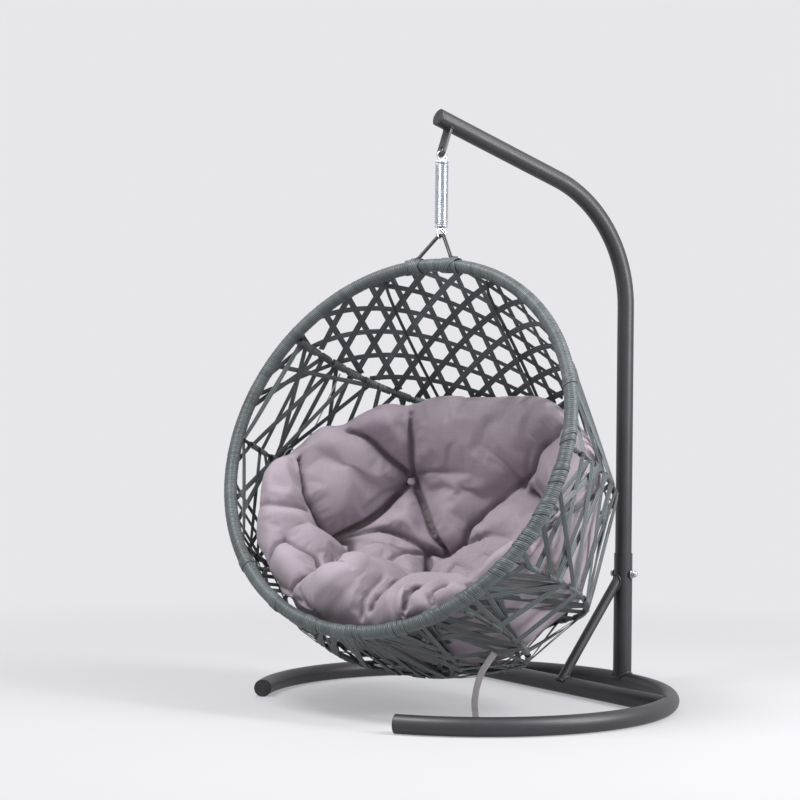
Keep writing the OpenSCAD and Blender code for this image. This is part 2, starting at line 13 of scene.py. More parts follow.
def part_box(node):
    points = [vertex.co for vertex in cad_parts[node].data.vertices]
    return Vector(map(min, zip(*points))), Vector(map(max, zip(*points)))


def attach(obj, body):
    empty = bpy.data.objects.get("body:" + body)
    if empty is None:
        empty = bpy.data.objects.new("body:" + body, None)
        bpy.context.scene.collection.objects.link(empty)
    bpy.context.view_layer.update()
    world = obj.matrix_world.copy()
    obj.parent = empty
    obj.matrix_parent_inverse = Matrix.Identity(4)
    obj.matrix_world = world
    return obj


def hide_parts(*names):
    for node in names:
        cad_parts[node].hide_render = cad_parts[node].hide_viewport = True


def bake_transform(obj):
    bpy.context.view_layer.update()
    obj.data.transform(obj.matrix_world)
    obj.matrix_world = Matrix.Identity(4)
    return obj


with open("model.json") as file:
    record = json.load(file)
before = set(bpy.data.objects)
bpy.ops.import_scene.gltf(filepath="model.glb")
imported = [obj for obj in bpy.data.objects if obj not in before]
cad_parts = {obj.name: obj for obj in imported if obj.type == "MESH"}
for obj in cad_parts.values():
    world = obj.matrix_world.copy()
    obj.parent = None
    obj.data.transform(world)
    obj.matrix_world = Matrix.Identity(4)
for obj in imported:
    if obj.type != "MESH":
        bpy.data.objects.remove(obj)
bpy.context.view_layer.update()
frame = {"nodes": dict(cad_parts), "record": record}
for obj in bpy.context.selected_objects:
    obj.select_set(False)
nodes = frame["nodes"]
TAU = 2 * math.pi
MM = 0.001

# ------------------------------------------------------------------ driving dimensions
joint_rows = {row["name"]: row for row in frame["record"]["behaviour"]["joints"]}
PIVOT = Vector(joint_rows["swivel"]["pos_m"])
RIM_R = 0.407
RIM_TILT = math.radians(21.4)
SWIVEL = math.radians(24.25)
RIM_FORWARD = 0.0325
HANGER_RISE = 0.067
WRAP_R = 0.01425
SHELL_DEPTH = 0.5
SHELL_SAG = 0.092
SHELL_LEAN = 0.06
WALL_STRIP_W = 0.0105
STRIP_T = 0.0012
ROD_R = 0.004
WRAPPED_ROD_R = 0.0055
WIRE_R = 0.002
BASKET = (
    Matrix.Translation((0, PIVOT.y, 0))
    @ Matrix.Rotation(SWIVEL, 4, "Z")
    @ Matrix.Translation((0, -RIM_FORWARD, PIVOT.z - HANGER_RISE))
    @ Matrix.Rotation(-RIM_TILT, 4, "X")
    @ Matrix.Translation((0, 0, -RIM_R))
)
BASKET_ARRAY = np.array(BASKET)

# ------------------------------------------------------------------ camera
CAMERA_AT = (3.1475, -2.1867, 0.5757)
VIEW_RIGHT = Vector((0.5388, 0.8424, 0.0124)).normalized()
VIEW_AHEAD = Vector((-0.8424, 0.5385, 0.0202)).normalized()
VIEW_UP = VIEW_RIGHT.cross(VIEW_AHEAD)
camera_data = bpy.data.cameras.new("camera")
camera_data.lens = 79.23
camera_data.sensor_width = 36
camera_data.clip_end = 60
camera = bpy.data.objects.new("camera", camera_data)
bpy.context.scene.collection.objects.link(camera)
camera.matrix_world = Matrix.Translation(CAMERA_AT) @ Matrix(
    (VIEW_RIGHT, VIEW_UP, -VIEW_AHEAD)).transposed().to_4x4()
bpy.context.scene.camera = camera


# ------------------------------------------------------------------ mesh making
def unit(a):
    a = np.asarray(a, float)
    return a / np.maximum(np.linalg.norm(a, axis=-1, keepdims=True), 1e-12)


def in_world(points):
    points = np.asarray(points, float)
    return points @ BASKET_ARRAY[:3, :3].T + BASKET_ARRAY[:3, 3]


def round_outline(radius, sides):
    turn = TAU * (np.arange(sides) + 0.5) / sides
    return radius * np.stack([np.cos(turn), np.sin(turn)], 1)


def band_outline(width, thick, lip=0.0011):
    w, t, e = width / 2, thick / 2, lip
    return np.array([(-w, -t * 0.4), (-w + e, -t), (w - e, -t), (w, -t * 0.4),
                     (w, t * 0.4), (w - e, t), (-w + e, t), (-w, t * 0.4)])


class Skein:
    """Gathers swept bands, rods and wires into one mesh with a UV map and a tint."""

    def __init__(self):
        self.points = []
        self.faces = []
        self.uvs = []
        self.tints = []
        self.count = 0

    def sweep(self, path, through, outline, tint=0.5, scale=None, closed=False):
        """Carries an outline along the path; through points out of the band's flat side."""
        path = np.asarray(path, float)
        n, k = len(path), len(outline)
        if closed:
            ahead = unit(np.roll(path, -1, 0) - np.roll(path, 1, 0))
        else:
            ahead = unit(np.gradient(path, axis=0))
        across = unit(np.cross(ahead, np.broadcast_to(through, path.shape)))
        up = np.cross(across, ahead)
        size = np.ones(n) if scale is None else np.asarray(scale)
        ring = (path[:, None] + size[:, None, None] * (outline[None, :, 0, None] * across[:, None]
                                                       + outline[None, :, 1, None] * up[:, None]))
        self.points.append(ring.reshape(-1, 3))
        self.tints.append(np.broadcast_to(np.asarray(tint, float).reshape(-1, 1), (n, k)).reshape(-1))
        step = np.linalg.norm(np.diff(path, axis=0, append=path[:1] if closed else path[-1:]), axis=1)
        along = np.concatenate([[0], np.cumsum(step)])
        edge = np.linalg.norm(np.roll(outline, -1, 0) - outline, axis=1)
        around = np.concatenate([[0], np.cumsum(edge)])
        base = self.count
        rows = n if closed else n - 1
        for i in range(rows):
            a, b = base + i * k, base + ((i + 1) % n) * k
            for j in range(k):
                m = (j + 1) % k
                self.faces.append((a + j, b + j, b + m, a + m))
                self.uvs += [(along[i], around[j]), (along[i + 1], around[j]),
                             (along[i + 1], around[j + 1]), (along[i], around[j + 1])]
        if not closed:
            first = tuple(base + j for j in range(k))
            last = tuple(base + (n - 1) * k + j for j in reversed(range(k)))
            for cap in (first, last):
                self.faces.append(cap)
                self.uvs += [(0, 0)] * k
        self.count += n * k


    def build(self, name, material, angle=40, basket=True):
        points = np.concatenate(self.points)
        if basket:
            points = in_world(points)
        return make_piece(name, points, self.faces, self.uvs, material, angle,
                          tint=np.concatenate(self.tints))


def make_piece(name, points, faces, uvs, material, angle, **attributes):
    """A smooth-shaded mesh with a UV map and named values at its points."""
    mesh = bpy.data.meshes.new(name)
    mesh.from_pydata(points.tolist(), [], faces)
    layer = mesh.uv_layers.new(name="UVMap")
    layer.data.foreach_set("uv", np.asarray(uvs, float).reshape(-1))
    for key, values in attributes.items():
        kind, field = ("FLOAT_VECTOR", "vector") if np.ndim(values) == 2 else ("FLOAT", "value")
        place = mesh.attributes.new(key, kind, "POINT")
        place.data.foreach_set(field, np.asarray(values, float).reshape(-1))
    mesh.materials.append(material)
    work = bmesh.new()
    work.from_mesh(mesh)
    bmesh.ops.recalc_face_normals(work, faces=work.faces)
    work.to_mesh(mesh)
    work.free()
    mesh.shade_smooth()
    mesh.set_sharp_from_angle(angle=math.radians(angle))
    piece = bpy.data.objects.new(name, mesh)
    bpy.context.scene.collection.objects.link(piece)
    return piece


def smooth_path(knots, per):
    """Catmull-Rom curve through the knots."""
    knots = np.asarray(knots, float)
    padded = np.concatenate([2 * knots[:1] - knots[1:2], knots, 2 * knots[-1:] - knots[-2:-1]])
    t = np.arange(per)[:, None] / per
    out = []
    for a, b, c, d in zip(padded[:-3], padded[1:-2], padded[2:-1], padded[3:]):
        out.append(0.5 * (2 * b + (c - a) * t + (2 * a - 5 * b + 4 * c - d) * t ** 2
                          + (3 * b - a - 3 * c + d) * t ** 3))
    return np.concatenate([*out, knots[-1:]])


def travelled(path):
    """How far along the path each of its points is."""
    return np.concatenate([[0], np.cumsum(np.linalg.norm(np.diff(path, axis=0), axis=1))])


def resample(path, length, at):
    return np.stack([np.interp(at, length, path[:, c]) for c in range(3)], 1)


def bisect(too_far, high, rounds):
    """Closes in on the value from 0 up at which the test turns true: two bounds."""
    low = 0.0
    for _ in range(rounds):
        middle = (low + high) / 2
        if too_far(middle):
            high = middle
        else:
            low = middle
    return low, high


# ------------------------------------------------------------------ materials
def new_material(name):
    material = bpy.data.materials.new(name)
    material.use_nodes = True
    tree = material.node_tree
    return material, tree, tree.nodes["Principled BSDF"]


def feed(tree, slot, value):
    """Gives an input its value, or links it to another node's output."""
    if hasattr(value, "links"):
        tree.links.new(value, slot)
    else:
        slot.default_value = value


def set_inputs(tree, node, **values):
    for name, value in values.items():
        feed(tree, node.inputs[name.replace("_", " ")], value)


def add_node(tree, kind, **values):
    """New node: names that start with a capital are inputs, the others are settings."""
    node = tree.nodes.new(kind)
    for name, value in values.items():
        if name[0].isupper():
            set_inputs(tree, node, **{name: value})
        else:
            setattr(node, name, value)
    return node


def noise(tree, coords, scale, detail):
    return add_node(tree, "ShaderNodeTexNoise", Vector=coords, Scale=scale, Detail=detail,
                    Roughness=0.55).outputs["Fac"]


def math_node(tree, how, *terms):
    node = add_node(tree, "ShaderNodeMath", operation=how)
    for slot, value in zip(node.inputs, terms):
        feed(tree, slot, value)
    return node.outputs[0]


def ramp(tree, fac, *stops):
    node = add_node(tree, "ShaderNodeValToRGB", Fac=fac)
    while len(node.color_ramp.elements) < len(stops):
        node.color_ramp.elements.new(0.5)
    for element, (place, colour) in zip(node.color_ramp.elements, stops):
        element.position = place
        element.color = (*colour, 1)
    return node.outputs["Color"]


def bump(tree, height, distance, strength, **after):
    return add_node(tree, "ShaderNodeBump", Height=height, Distance=distance, Strength=strength,
                    **after).outputs["Normal"]


def mix_colour(tree, fac, a, b):
    node = add_node(tree, "ShaderNodeMix", data_type="RGBA", Factor=fac)
    for slot, value in ((node.inputs[6], a), (node.inputs[7], b)):
        feed(tree, slot, (*value, 1) if isinstance(value, tuple) else value)
    return node.outputs[2]


def object_coords(tree):
    return add_node(tree, "ShaderNodeTexCoord").outputs["Object"]


def attribute(tree, name):
    return add_node(tree, "ShaderNodeAttribute", attribute_name=name).outputs["Fac"]


def uv_shares(tree):
    """The UV map, and its measures along and across."""
    uv = add_node(tree, "ShaderNodeUVMap", uv_map="UVMap").outputs["UV"]
    parts = add_node(tree, "ShaderNodeSeparateXYZ", Vector=uv)
    return uv, parts.outputs["X"], parts.outputs["Y"]


def wave(tree, way, pitch):
    return math_node(tree, "SINE", math_node(tree, "MULTIPLY", way, TAU / pitch))


def streaks(tree, uv, scale):
    """Noise drawn out along the UV map."""
    stretched = add_node(tree, "ShaderNodeMapping", Vector=uv, Scale=scale)
    return noise(tree, stretched.outputs[0], 1, 2)


def uneven(tree, coords, scale, detail, spread, least):
    """A cloudy value, with its spread and its least."""
    return math_node(tree, "MULTIPLY_ADD", noise(tree, coords, scale, detail), spread, least)


DUST_SCALE, DUST_SHARE, DUST_COLOUR = 160, 0.10, (0.10, 0.098, 0.11)


def make_coat(name, cloud, colours, gloss, relief, dusty=False, **values):
    """Paint, plastic or plate: cloudy colour, uneven gloss and a fine relief.

    Each of cloud, gloss and relief starts with the scale and detail of its noise; then gloss
    has the spread and least of the roughness, and relief its height and strength.
    """
    material, tree, shader = new_material(name)
    coords = object_coords(tree)
    colour = ramp(tree, noise(tree, coords, *cloud), *colours)
    if dusty:
        specks = ramp(tree, noise(tree, coords, DUST_SCALE, 2), (0.60, (0, 0, 0)), (0.72, (1, 1, 1)))
        colour = mix_colour(tree, math_node(tree, "MULTIPLY", specks, DUST_SHARE), colour, DUST_COLOUR)
    scale, detail, height, strength = relief
    set_inputs(tree, shader, Base_Color=colour, Roughness=uneven(tree, coords, *gloss),
               Normal=bump(tree, noise(tree, coords, scale, detail), height, strength), **values)
    return material


GROOVE_PITCH = 0.0040        # between the fine grooves along a strip
GROOVE_SHADE_SHARE = 0.88          # how much painted shade darkens the bottom of each groove
# colour of the painted shade in the grooves
GROOVE_SHADE_COLOUR = (0.020, 0.027, 0.030)


def make_rattan():
    """Flat extruded strip: lengthwise grooves with painted shade in them, soft sheen, every strip its
    own tint, which on the walls also carries painted shade lower down.
    """
    material, tree, shader = new_material("rattan")
    uv, _, across = uv_shares(tree)
    coords = object_coords(tree)
    groove = math_node(tree, "MULTIPLY_ADD", wave(tree, across, GROOVE_PITCH), 0.5, 0.5)
    ridge = math_node(tree, "POWER", groove, 0.9)
    shade = math_node(tree, "ADD", uneven(tree, coords, 14, 3, 0.5, -0.25), attribute(tree, "tint"))
    shade = math_node(tree, "MULTIPLY_ADD", streaks(tree, uv, (30, 1800, 1)), 0.3, shade)
    colour = ramp(tree, math_node(tree, "SUBTRACT", shade, 0.15),
                  (0.10, (0.050, 0.058, 0.061)), (0.50, (0.124, 0.143, 0.149)),
                  (0.95, (0.240, 0.270, 0.278)))
    # painted shade: each groove's bottom darkens toward the groove shade colour
    bed = math_node(tree, "MULTIPLY_ADD", ridge, -GROOVE_SHADE_SHARE, GROOVE_SHADE_SHARE)
    set_inputs(tree, shader, Base_Color=mix_colour(tree, bed, colour, GROOVE_SHADE_COLOUR),
               Roughness=uneven(tree, coords, 120, 2, 0.2, 0.36), Specular_IOR_Level=0.45,
               Normal=bump(tree, ridge, 0.0004, 0.8))
    return material


def make_tie_cloth(name, colour, dark, pitch):
    """Twisted or woven tie: a fine slanted rib that follows the piece."""
    material, tree, shader = new_material(name)
    _, along, across = uv_shares(tree)
    rib = wave(tree, math_node(tree, "ADD", along, across), pitch)
    rib = math_node(tree, "MULTIPLY_ADD", rib, 0.5, 0.5)
    shade = math_node(tree, "MULTIPLY_ADD", rib, 0.5,
                      uneven(tree, object_coords(tree), 90, 3, 0.5, 0.0))
    set_inputs(tree, shader, Base_Color=mix_colour(tree, shade, dark, colour), Roughness=0.85,
               Sheen_Weight=0.25, Normal=bump(tree, rib, 0.0003, 0.7))
    return material


WEAVE_PITCH = 0.0011         # between threads of the cushion cloth
PAINTED_FOLD_SHADE_SHARE = 0.78            # how much painted shade darkens the cloth at the line of a fold


def make_cushion_cloth():
    """Plain-woven cloth: crossing threads, slubs, a soft sheen and painted shade along the folds."""
    material, tree, shader = new_material("cushion_cloth")
    uv, along, across = uv_shares(tree)
    coords = object_coords(tree)
    weave = math_node(tree, "MULTIPLY", wave(tree, along, WEAVE_PITCH), wave(tree, across, WEAVE_PITCH))
    weave = math_node(tree, "MULTIPLY_ADD", weave, 0.5, 0.5)
    thread = math_node(tree, "ADD", streaks(tree, uv, (26, 620, 1)), streaks(tree, uv, (620, 26, 1)))
    tone = math_node(tree, "MULTIPLY_ADD", thread, 0.42, -0.42)
    tone = math_node(tree, "ADD", tone, uneven(tree, coords, 5, 3, 0.5, 0.25))
    colour = ramp(tree, tone, (0.15, (0.290, 0.243, 0.280)), (0.50, (0.372, 0.315, 0.358)),
                  (0.85, (0.450, 0.385, 0.432)))
    colour = mix_colour(tree, math_node(tree, "MULTIPLY_ADD", weave, -0.16, 0.16), colour,
                        (0.15, 0.12, 0.15))
    # painted shade along the folds, toward a near-black mauve
    colour = mix_colour(tree, math_node(tree, "MULTIPLY", attribute(tree, "deep"), PAINTED_FOLD_SHADE_SHARE), colour,
                        (0.075, 0.058, 0.072))
    rumple = bump(tree, noise(tree, coords, 34, 4), 0.0016, 0.35)
    height = math_node(tree, "MULTIPLY_ADD", thread, 0.6, weave)
    set_inputs(tree, shader, Base_Color=colour, Roughness=0.82, Sheen_Weight=0.12,
               Sheen_Roughness=0.45, Specular_IOR_Level=0.25,
               Normal=bump(tree, height, 0.00025, 0.6, Normal=rumple))
    return material


powder_coat = make_coat("powder_coat", (9, 4),
                        ((0.3, (0.0185, 0.0172, 0.0225)), (0.7, (0.027, 0.0250, 0.0325))),
                        (26, 3, 0.14, 0.38), (900, 2, 0.00010, 0.25), dusty=True,
                        Specular_IOR_Level=0.56)
black_plastic = make_coat("black_plastic", (60, 4),
                          ((0.35, (0.010, 0.010, 0.011)), (0.70, (0.030, 0.030, 0.032))),
                          (200, 2, 0.2, 0.42), (420, 3, 0.0004, 0.6))
zinc = make_coat("zinc", (70, 3), ((0.3, (0.50, 0.53, 0.58)), (0.7, (0.66, 0.68, 0.72))),
                 (240, 3, 0.22, 0.14), (1500, 2, 0.00006, 0.5), Metallic=1.0)
rod_paint = make_coat("rod_paint", (40, 4),
                      ((0.3, (0.014, 0.015, 0.017)), (0.75, (0.036, 0.038, 0.042))),
                      (90, 2, 0.2, 0.35), (700, 2, 0.0001, 0.5))
rattan = make_rattan()
cord_cloth = make_tie_cloth("cord_cloth", (0.50, 0.47, 0.47), (0.24, 0.22, 0.23), 0.0016)
tape_cloth = make_tie_cloth("tape_cloth", (0.42, 0.39, 0.41), (0.22, 0.20, 0.22), 0.0011)
cushion_cloth = make_cushion_cloth()

SLOT_FINISH = {"powder_coat": powder_coat, "black_plastic": black_plastic, "zinc": zinc,
               "rattan": rattan, "rod_black": rod_paint, "cushion_cloth": cushion_cloth,
               "tie_tape": tape_cloth}
for row in frame["record"]["subparts"]:
    node = nodes[row["node"]]
    node.data.materials.clear()
    node.data.materials.append(SLOT_FINISH[row["material_slot"]])


def fit_out(piece, body, slot, *replaced):
    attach(piece, body)
    if replaced:
        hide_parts(*replaced)
    return piece


# ------------------------------------------------------------------ the ties
SIDE_TIE_D = 0.0035
SIDE_TIE = MM * np.array([
    (-286, 146, 220), (-293, 150, 205), (-300, 153, 189), (-307, 156, 173),
    (-316, 160, 154), (-324, 164, 135), (-336, 169, 107), (-348, 173, 82),
    (-356, 178, 61), (-361, 182, 47), (-364, 185, 34), (-366, 186, 23),
    (-366, 182, 14), (-366, 174, 11), (-366, 166, 14), (-367, 162, 23),
    (-369, 160, 31), (-371, 154, 37), (-373, 146, 37), (-375, 140, 31),
    (-377, 137, 23), (-379, 137, 13), (-379, 137, 1), (-377, 137, -12),
    (-373, 138, -25), (-368, 140, -37)], float)
TAPE_W = 0.013
TAPE_T = 0.0016
BOTTOM_TIE = MM * np.array([
    (295, -133, 146), (293, -136, 140), (290, -141, 132), (287, -146, 123),
    (284, -151, 114), (281, -155, 104), (279, -158, 94), (277, -160, 84),
    (275, -162, 73), (274, -163, 62), (273, -164, 51), (273, -164, 40),
    (273, -163, 30), (274, -162, 20), (275, -161, 11), (276, -160, 3)], float)


def make_ties():
    cord = Skein()
    path = smooth_path(SIDE_TIE, 5)
    cord.sweep(path, (1, 0, 0), round_outline(SIDE_TIE_D / 2, 12))
    piece = fit_out(cord.build("side_tie_cord", cord_cloth, angle=180), "basket", "tie_tape",
                    "side_tie")
    laid = in_world(path)
    tape = Skein()
    laid = smooth_path(BOTTOM_TIE, 4)
    flat = np.array((0.54, 0.84, 0.0))
    facing = np.cross(unit(np.gradient(laid, axis=0)), flat)
    tape.sweep(laid, facing, band_outline(TAPE_W, TAPE_T, 0.0005))
    piece = fit_out(tape.build("bottom_tie_tape", tape_cloth, basket=False), "basket", "tie_tape",
                    "bottom_tie")


make_ties()

# ------------------------------------------------------------------ the basket's shell
# Basket coordinates: x to the side, y is the depth behind the rim's plane, z up in the
# rim's plane. Level 0 is the rim's top arc, 1 to 5 are the hoops, 6 is the rim's bottom arc.
LEVEL_Z = (0.245, 0.005, -0.239, -0.340, -0.392)
LEVEL_FALL = (0.05, 0, 0, 0.12, 0.16)
LEVEL_STEPS = 96
SHELL_CENTRE = np.array((0.010, 0.170, -0.060))
SHELL_BLUNT = 2.6            # power of the outline along the depth
SAG_DEPTH = 0.25             # depth over which the sag and the squarer belly come in
REACH_LIMIT = 0.7            # further out than any point of a hoop
RIM_EASE = 0.15              # share at each side in which a wall bends to the rim's arc


def shell_reach(x, y, z):
    """Below 1 inside the shell and above 1 outside it."""
    if y >= SHELL_DEPTH:
        return 9.0
    r = RIM_R * max(1e-6, 1 - (max(y, 0) / SHELL_DEPTH) ** SHELL_BLUNT) ** (1 / SHELL_BLUNT)
    dz = z + SHELL_SAG * (1 - math.exp(-y / SAG_DEPTH))
    low = dz < 0
    power = 2 + 0.5 * min(y / SAG_DEPTH, 1) if low else 2
    rz = r * (1 - 0.015 * min(y / 0.1, 1)) if low else r
    wide = 1 + 0.03 * math.sin(math.pi * min(y / 0.44, 1))
    return (abs(x - SHELL_LEAN * y) / (wide * r)) ** power + (abs(dz) / rz) ** power


def rim_point(angle):
    return np.array((RIM_R * math.cos(angle), 0, RIM_R * math.sin(angle)))


def level_angle(i):
    return math.asin(LEVEL_Z[i - 1] / RIM_R)


def level_spot(i, turn, reach):
    """Point on the plane of hoop i: its turn from the left and its reach from the axis."""
    return (-reach * math.cos(turn), reach * math.sin(turn),
            LEVEL_Z[i - 1] - LEVEL_FALL[i - 1] * reach * math.sin(turn))


def level_exact(i, s):
    if i == 0:
        a = level_angle(1)
        return rim_point(math.pi - a - (math.pi - 2 * a) * s)
    if i == 6:
        a = level_angle(5)
        return rim_point(math.pi - a + (math.pi + 2 * a) * s)
    turn = math.pi * s
    reach, _ = bisect(lambda m: shell_reach(*level_spot(i, turn, m)) > 1, REACH_LIMIT, 26)
    return np.array(level_spot(i, turn, reach))


LEVELS = np.array([[level_exact(i, k / LEVEL_STEPS) for k in range(LEVEL_STEPS + 1)]
                   for i in range(7)])


def level_point(i, s):
    q = min(max(s, 0), 1) * LEVEL_STEPS
    k = min(int(q), LEVEL_STEPS - 1)
    return LEVELS[i][k] * (1 - (q - k)) + LEVELS[i][k + 1] * (q - k)


def rim_bulge(i, f, side):
    a, b = level_angle(i), level_angle(i + 1)
    p = rim_point(a * (1 - f) + b * f) - (rim_point(a) * (1 - f) + rim_point(b) * f)
    return np.array((side * p[0], 0, p[2]))


def skin(w, s):
    """Point of the shell at a level and a share across, from left to right."""
    i = min(int(w), 5)
    f = w - i
    s = min(max(s, 0), 1)
    p = level_point(i, s) * (1 - f) + level_point(i + 1, s) * f
    if i in (0, 5):
        return p
    for side, edge in ((-1, s), (1, 1 - s)):
        if edge < RIM_EASE:
            return p + (1 - edge / RIM_EASE) ** 2 * rim_bulge(i, f, side)
    return p


def zone_out(i, w, s):
    """Outward direction on the zone below level i."""
    e = 0.012
    w0, w1 = max(w - 0.05, i), min(w + 0.05, i + 0.9999)
    n = unit(np.cross(skin(w, min(1, s + e)) - skin(w, max(0, s - e)), skin(w1, s) - skin(w0, s)))
    return n if n @ (skin(w, s) - SHELL_CENTRE) > 0 else -n


def skin_out(w, s):
    i = min(int(w), 5)
    if w == i and 0 < i < 6:
        return unit(zone_out(i - 1, i - 0.01, s) + zone_out(i, i + 0.01, s))
    return zone_out(i, w, s)


WEAVE_T = 0.0024
HOOP_GAP = 0.0017
ROD_END = 0.0115             # depth at which a rod ends on the rim tube


def hoop_radius(i):
    return WRAPPED_ROD_R if i == 1 else ROD_R


def hoop_centre(i, s):
    """Centre of the rod of hoop i: its top lies a gap below both planes that meet there."""
    a, b = zone_out(i - 1, i - 0.01, s), zone_out(i, i + 0.01, s)
    m = unit(a + b)
    return skin(i, s) - (WEAVE_T + HOOP_GAP + hoop_radius(i)) / (m @ a) * m


def hoop_path(i, steps=90):
    """Centre line of a hoop's rod, from side to side of the rim tube."""
    half = math.sqrt(RIM_R ** 2 - LEVEL_Z[i - 1] ** 2)
    s0 = math.asin(ROD_END / half) / math.pi
    return np.array([hoop_centre(i, s0 + (1 - 2 * s0) * k / steps) for k in range(steps + 1)])


# ------------------------------------------------------------------ hoops, ribs and their wraps
def lay_rod(node, path, through, radius, sides):
    """Bare painted rod in place of a node."""
    rod = Skein()
    rod.sweep(path, through, round_outline(radius, sides))
    fit_out(rod.build(node + "_rod", rod_paint), "basket", "rod_black", node)


def wind(skein, centres, radius, pitch, turn_share, tint, seed):
    """A flat strip wound round a path, as a helix that sits at radius from it."""
    draw = random.Random(seed)
    length = travelled(centres)
    turns = length[-1] / pitch
    steps = max(int(turns * 14), 6)
    at = np.linspace(0, length[-1], steps + 1)
    middle = resample(centres, length, at)
    ahead = unit(np.gradient(middle, axis=0))
    one = unit(np.cross(ahead, (0.3, 0.2, 1.0)))
    two = np.cross(ahead, one)
    start = draw.uniform(0, TAU)
    angle = start + TAU * at / pitch
    out = np.cos(angle)[:, None] * one + np.sin(angle)[:, None] * two
    lift = np.array([draw.uniform(-0.25, 0.25) for _ in range(int(turns) + 3)]) * MM
    turn = (at / pitch).astype(int)
    path = middle + (radius + lift[turn])[:, None] * out
    skein.sweep(path, out, band_outline(pitch * turn_share, STRIP_T, 0.0006), tint=tint)


def make_wound_hoop():
    """Upper hoop: wound with a strip, in lumpy turns of several widths."""
    draw = random.Random(11)
    path = hoop_path(1, 160)
    hoop = Skein()
    hoop.sweep(path, (0, 0, 1), round_outline(WRAPPED_ROD_R - STRIP_T, 10), tint=0.2)
    at = 1
    while at < len(path) - 3:
        run = draw.randint(4, 10)
        part = path[at:min(at + run, len(path) - 1)]
        if len(part) > 2:
            wind(hoop, part, WRAPPED_ROD_R + draw.uniform(-0.4, 1.0) * MM,
                 draw.choice((0.0085, 0.0105, 0.0125)), turn_share=draw.uniform(0.85, 1.0),
                 tint=draw.uniform(0.15, 0.5), seed=at)
        at += run
    fit_out(hoop.build("upper_hoop_wound", rattan, angle=35), "basket", "rattan", "hoop_upper")


def level_side(i, x):
    """Share across at which level i is x to the side."""
    return bisect(lambda s: level_point(i, s)[0] > x, 1.0, 22)[0]


RIB_R = 0.0035
RIB_UNDER = WEAVE_T + HOOP_GAP + 2 * WRAPPED_ROD_R + 0.0005 + RIB_R
RIB_TOP_UNDER = 0.007        # how far under the skin a rib starts, at the rim
RIB_LAST = 4.9               # level at which a rib ends
RIB_STEPS = 52


def make_rib(node, x):
    """Straight rod that crosses the hoops on their inner side."""
    first = ROD_END / level_point(1, level_side(1, x))[1]
    path = []
    for k in range(RIB_STEPS + 1):
        w = first + (RIB_LAST - first) * k / RIB_STEPS
        i = min(int(w), 4)
        s = level_side(i, x) * (1 - (w - i)) + level_side(i + 1, x) * (w - i)
        t = RIB_TOP_UNDER + (RIB_UNDER - RIB_TOP_UNDER) * min(1, (w - first) / 0.12)
        near, far = max(w - 0.04, first), min(w + 0.04, RIB_LAST)
        path.append((skin(near, s) - t * skin_out(near, s) + skin(far, s) - t * skin_out(far, s)) / 2)
    lay_rod(node, path, (1, 0, 0), RIB_R, 10)


for level, node in enumerate(("hoop_middle", "hoop_lower", "hoop_underside", "hoop_front"), 2):
    lay_rod(node, hoop_path(level), (0, 0, 1), ROD_R, 12)
make_wound_hoop()
make_rib("rib_left", -0.122)
make_rib("rib_right", 0.133)

# ------------------------------------------------------------------ the rim's wrap
RIM_TURNS = 213
TURN_STEPS = 8
TURN_SHAPE = MM * np.array((-0.55, 0.06, 0.10, 0.12, 0.12, 0.10, 0.07, 0.00))
TURN_R = WRAP_R - 0.0003
RIM_SIDES = 20


def rim_offset(a, phi, radius):
    """Point at a radius from the rim's centre line: a goes round the rim, phi round its tube."""
    reach = RIM_R + radius * math.cos(phi)
    return (reach * math.cos(a), -radius * math.sin(phi), reach * math.sin(a))


def make_rim_wrap():
    """One strip wound round the rim tube: each turn a shallow crown between two seams."""
    draw = random.Random(5)
    steps = RIM_TURNS * TURN_STEPS
    lift = [draw.uniform(-0.10, 0.12) * MM for _ in range(RIM_TURNS)]
    tone = [draw.gauss(0.5, 0.05) for _ in range(RIM_TURNS)]
    for k in range(0, RIM_TURNS, 3):
        if draw.random() < 0.25:
            tone[k] -= 0.12
    points = []
    for i in range(steps):
        turn, share = divmod(i, TURN_STEPS)
        radius = TURN_R + TURN_SHAPE[share] + lift[turn]
        for j in range(RIM_SIDES):
            angle = TAU * (i - j / RIM_SIDES * TURN_STEPS) / steps
            points.append(rim_offset(angle, TAU * j / RIM_SIDES, radius))

    def at(row, column):
        if column == RIM_SIDES:
            return ((row - TURN_STEPS) % steps) * RIM_SIDES
        return (row % steps) * RIM_SIDES + column

    faces, uvs = [], []
    pitch = TAU * RIM_R / steps
    for i in range(steps):
        for j in range(RIM_SIDES):
            faces.append((at(i, j), at(i + 1, j), at(i + 1, j + 1), at(i, j + 1)))
            u0, u1 = TAU * WRAP_R * j / RIM_SIDES, TAU * WRAP_R * (j + 1) / RIM_SIDES
            uvs += [(u0, i * pitch), (u0, (i + 1) * pitch), (u1, (i + 1) * pitch), (u1, i * pitch)]
    piece = make_piece("rim_wrap_strip", in_world(points), faces, uvs, rattan, 50,
                       tint=np.repeat(tone, TURN_STEPS * RIM_SIDES))
    fit_out(piece, "basket", "rattan", "rim_wrap")


BINDING_PITCH = 0.0115
BINDING_W = 0.0112
BINDING_STEPS = 26


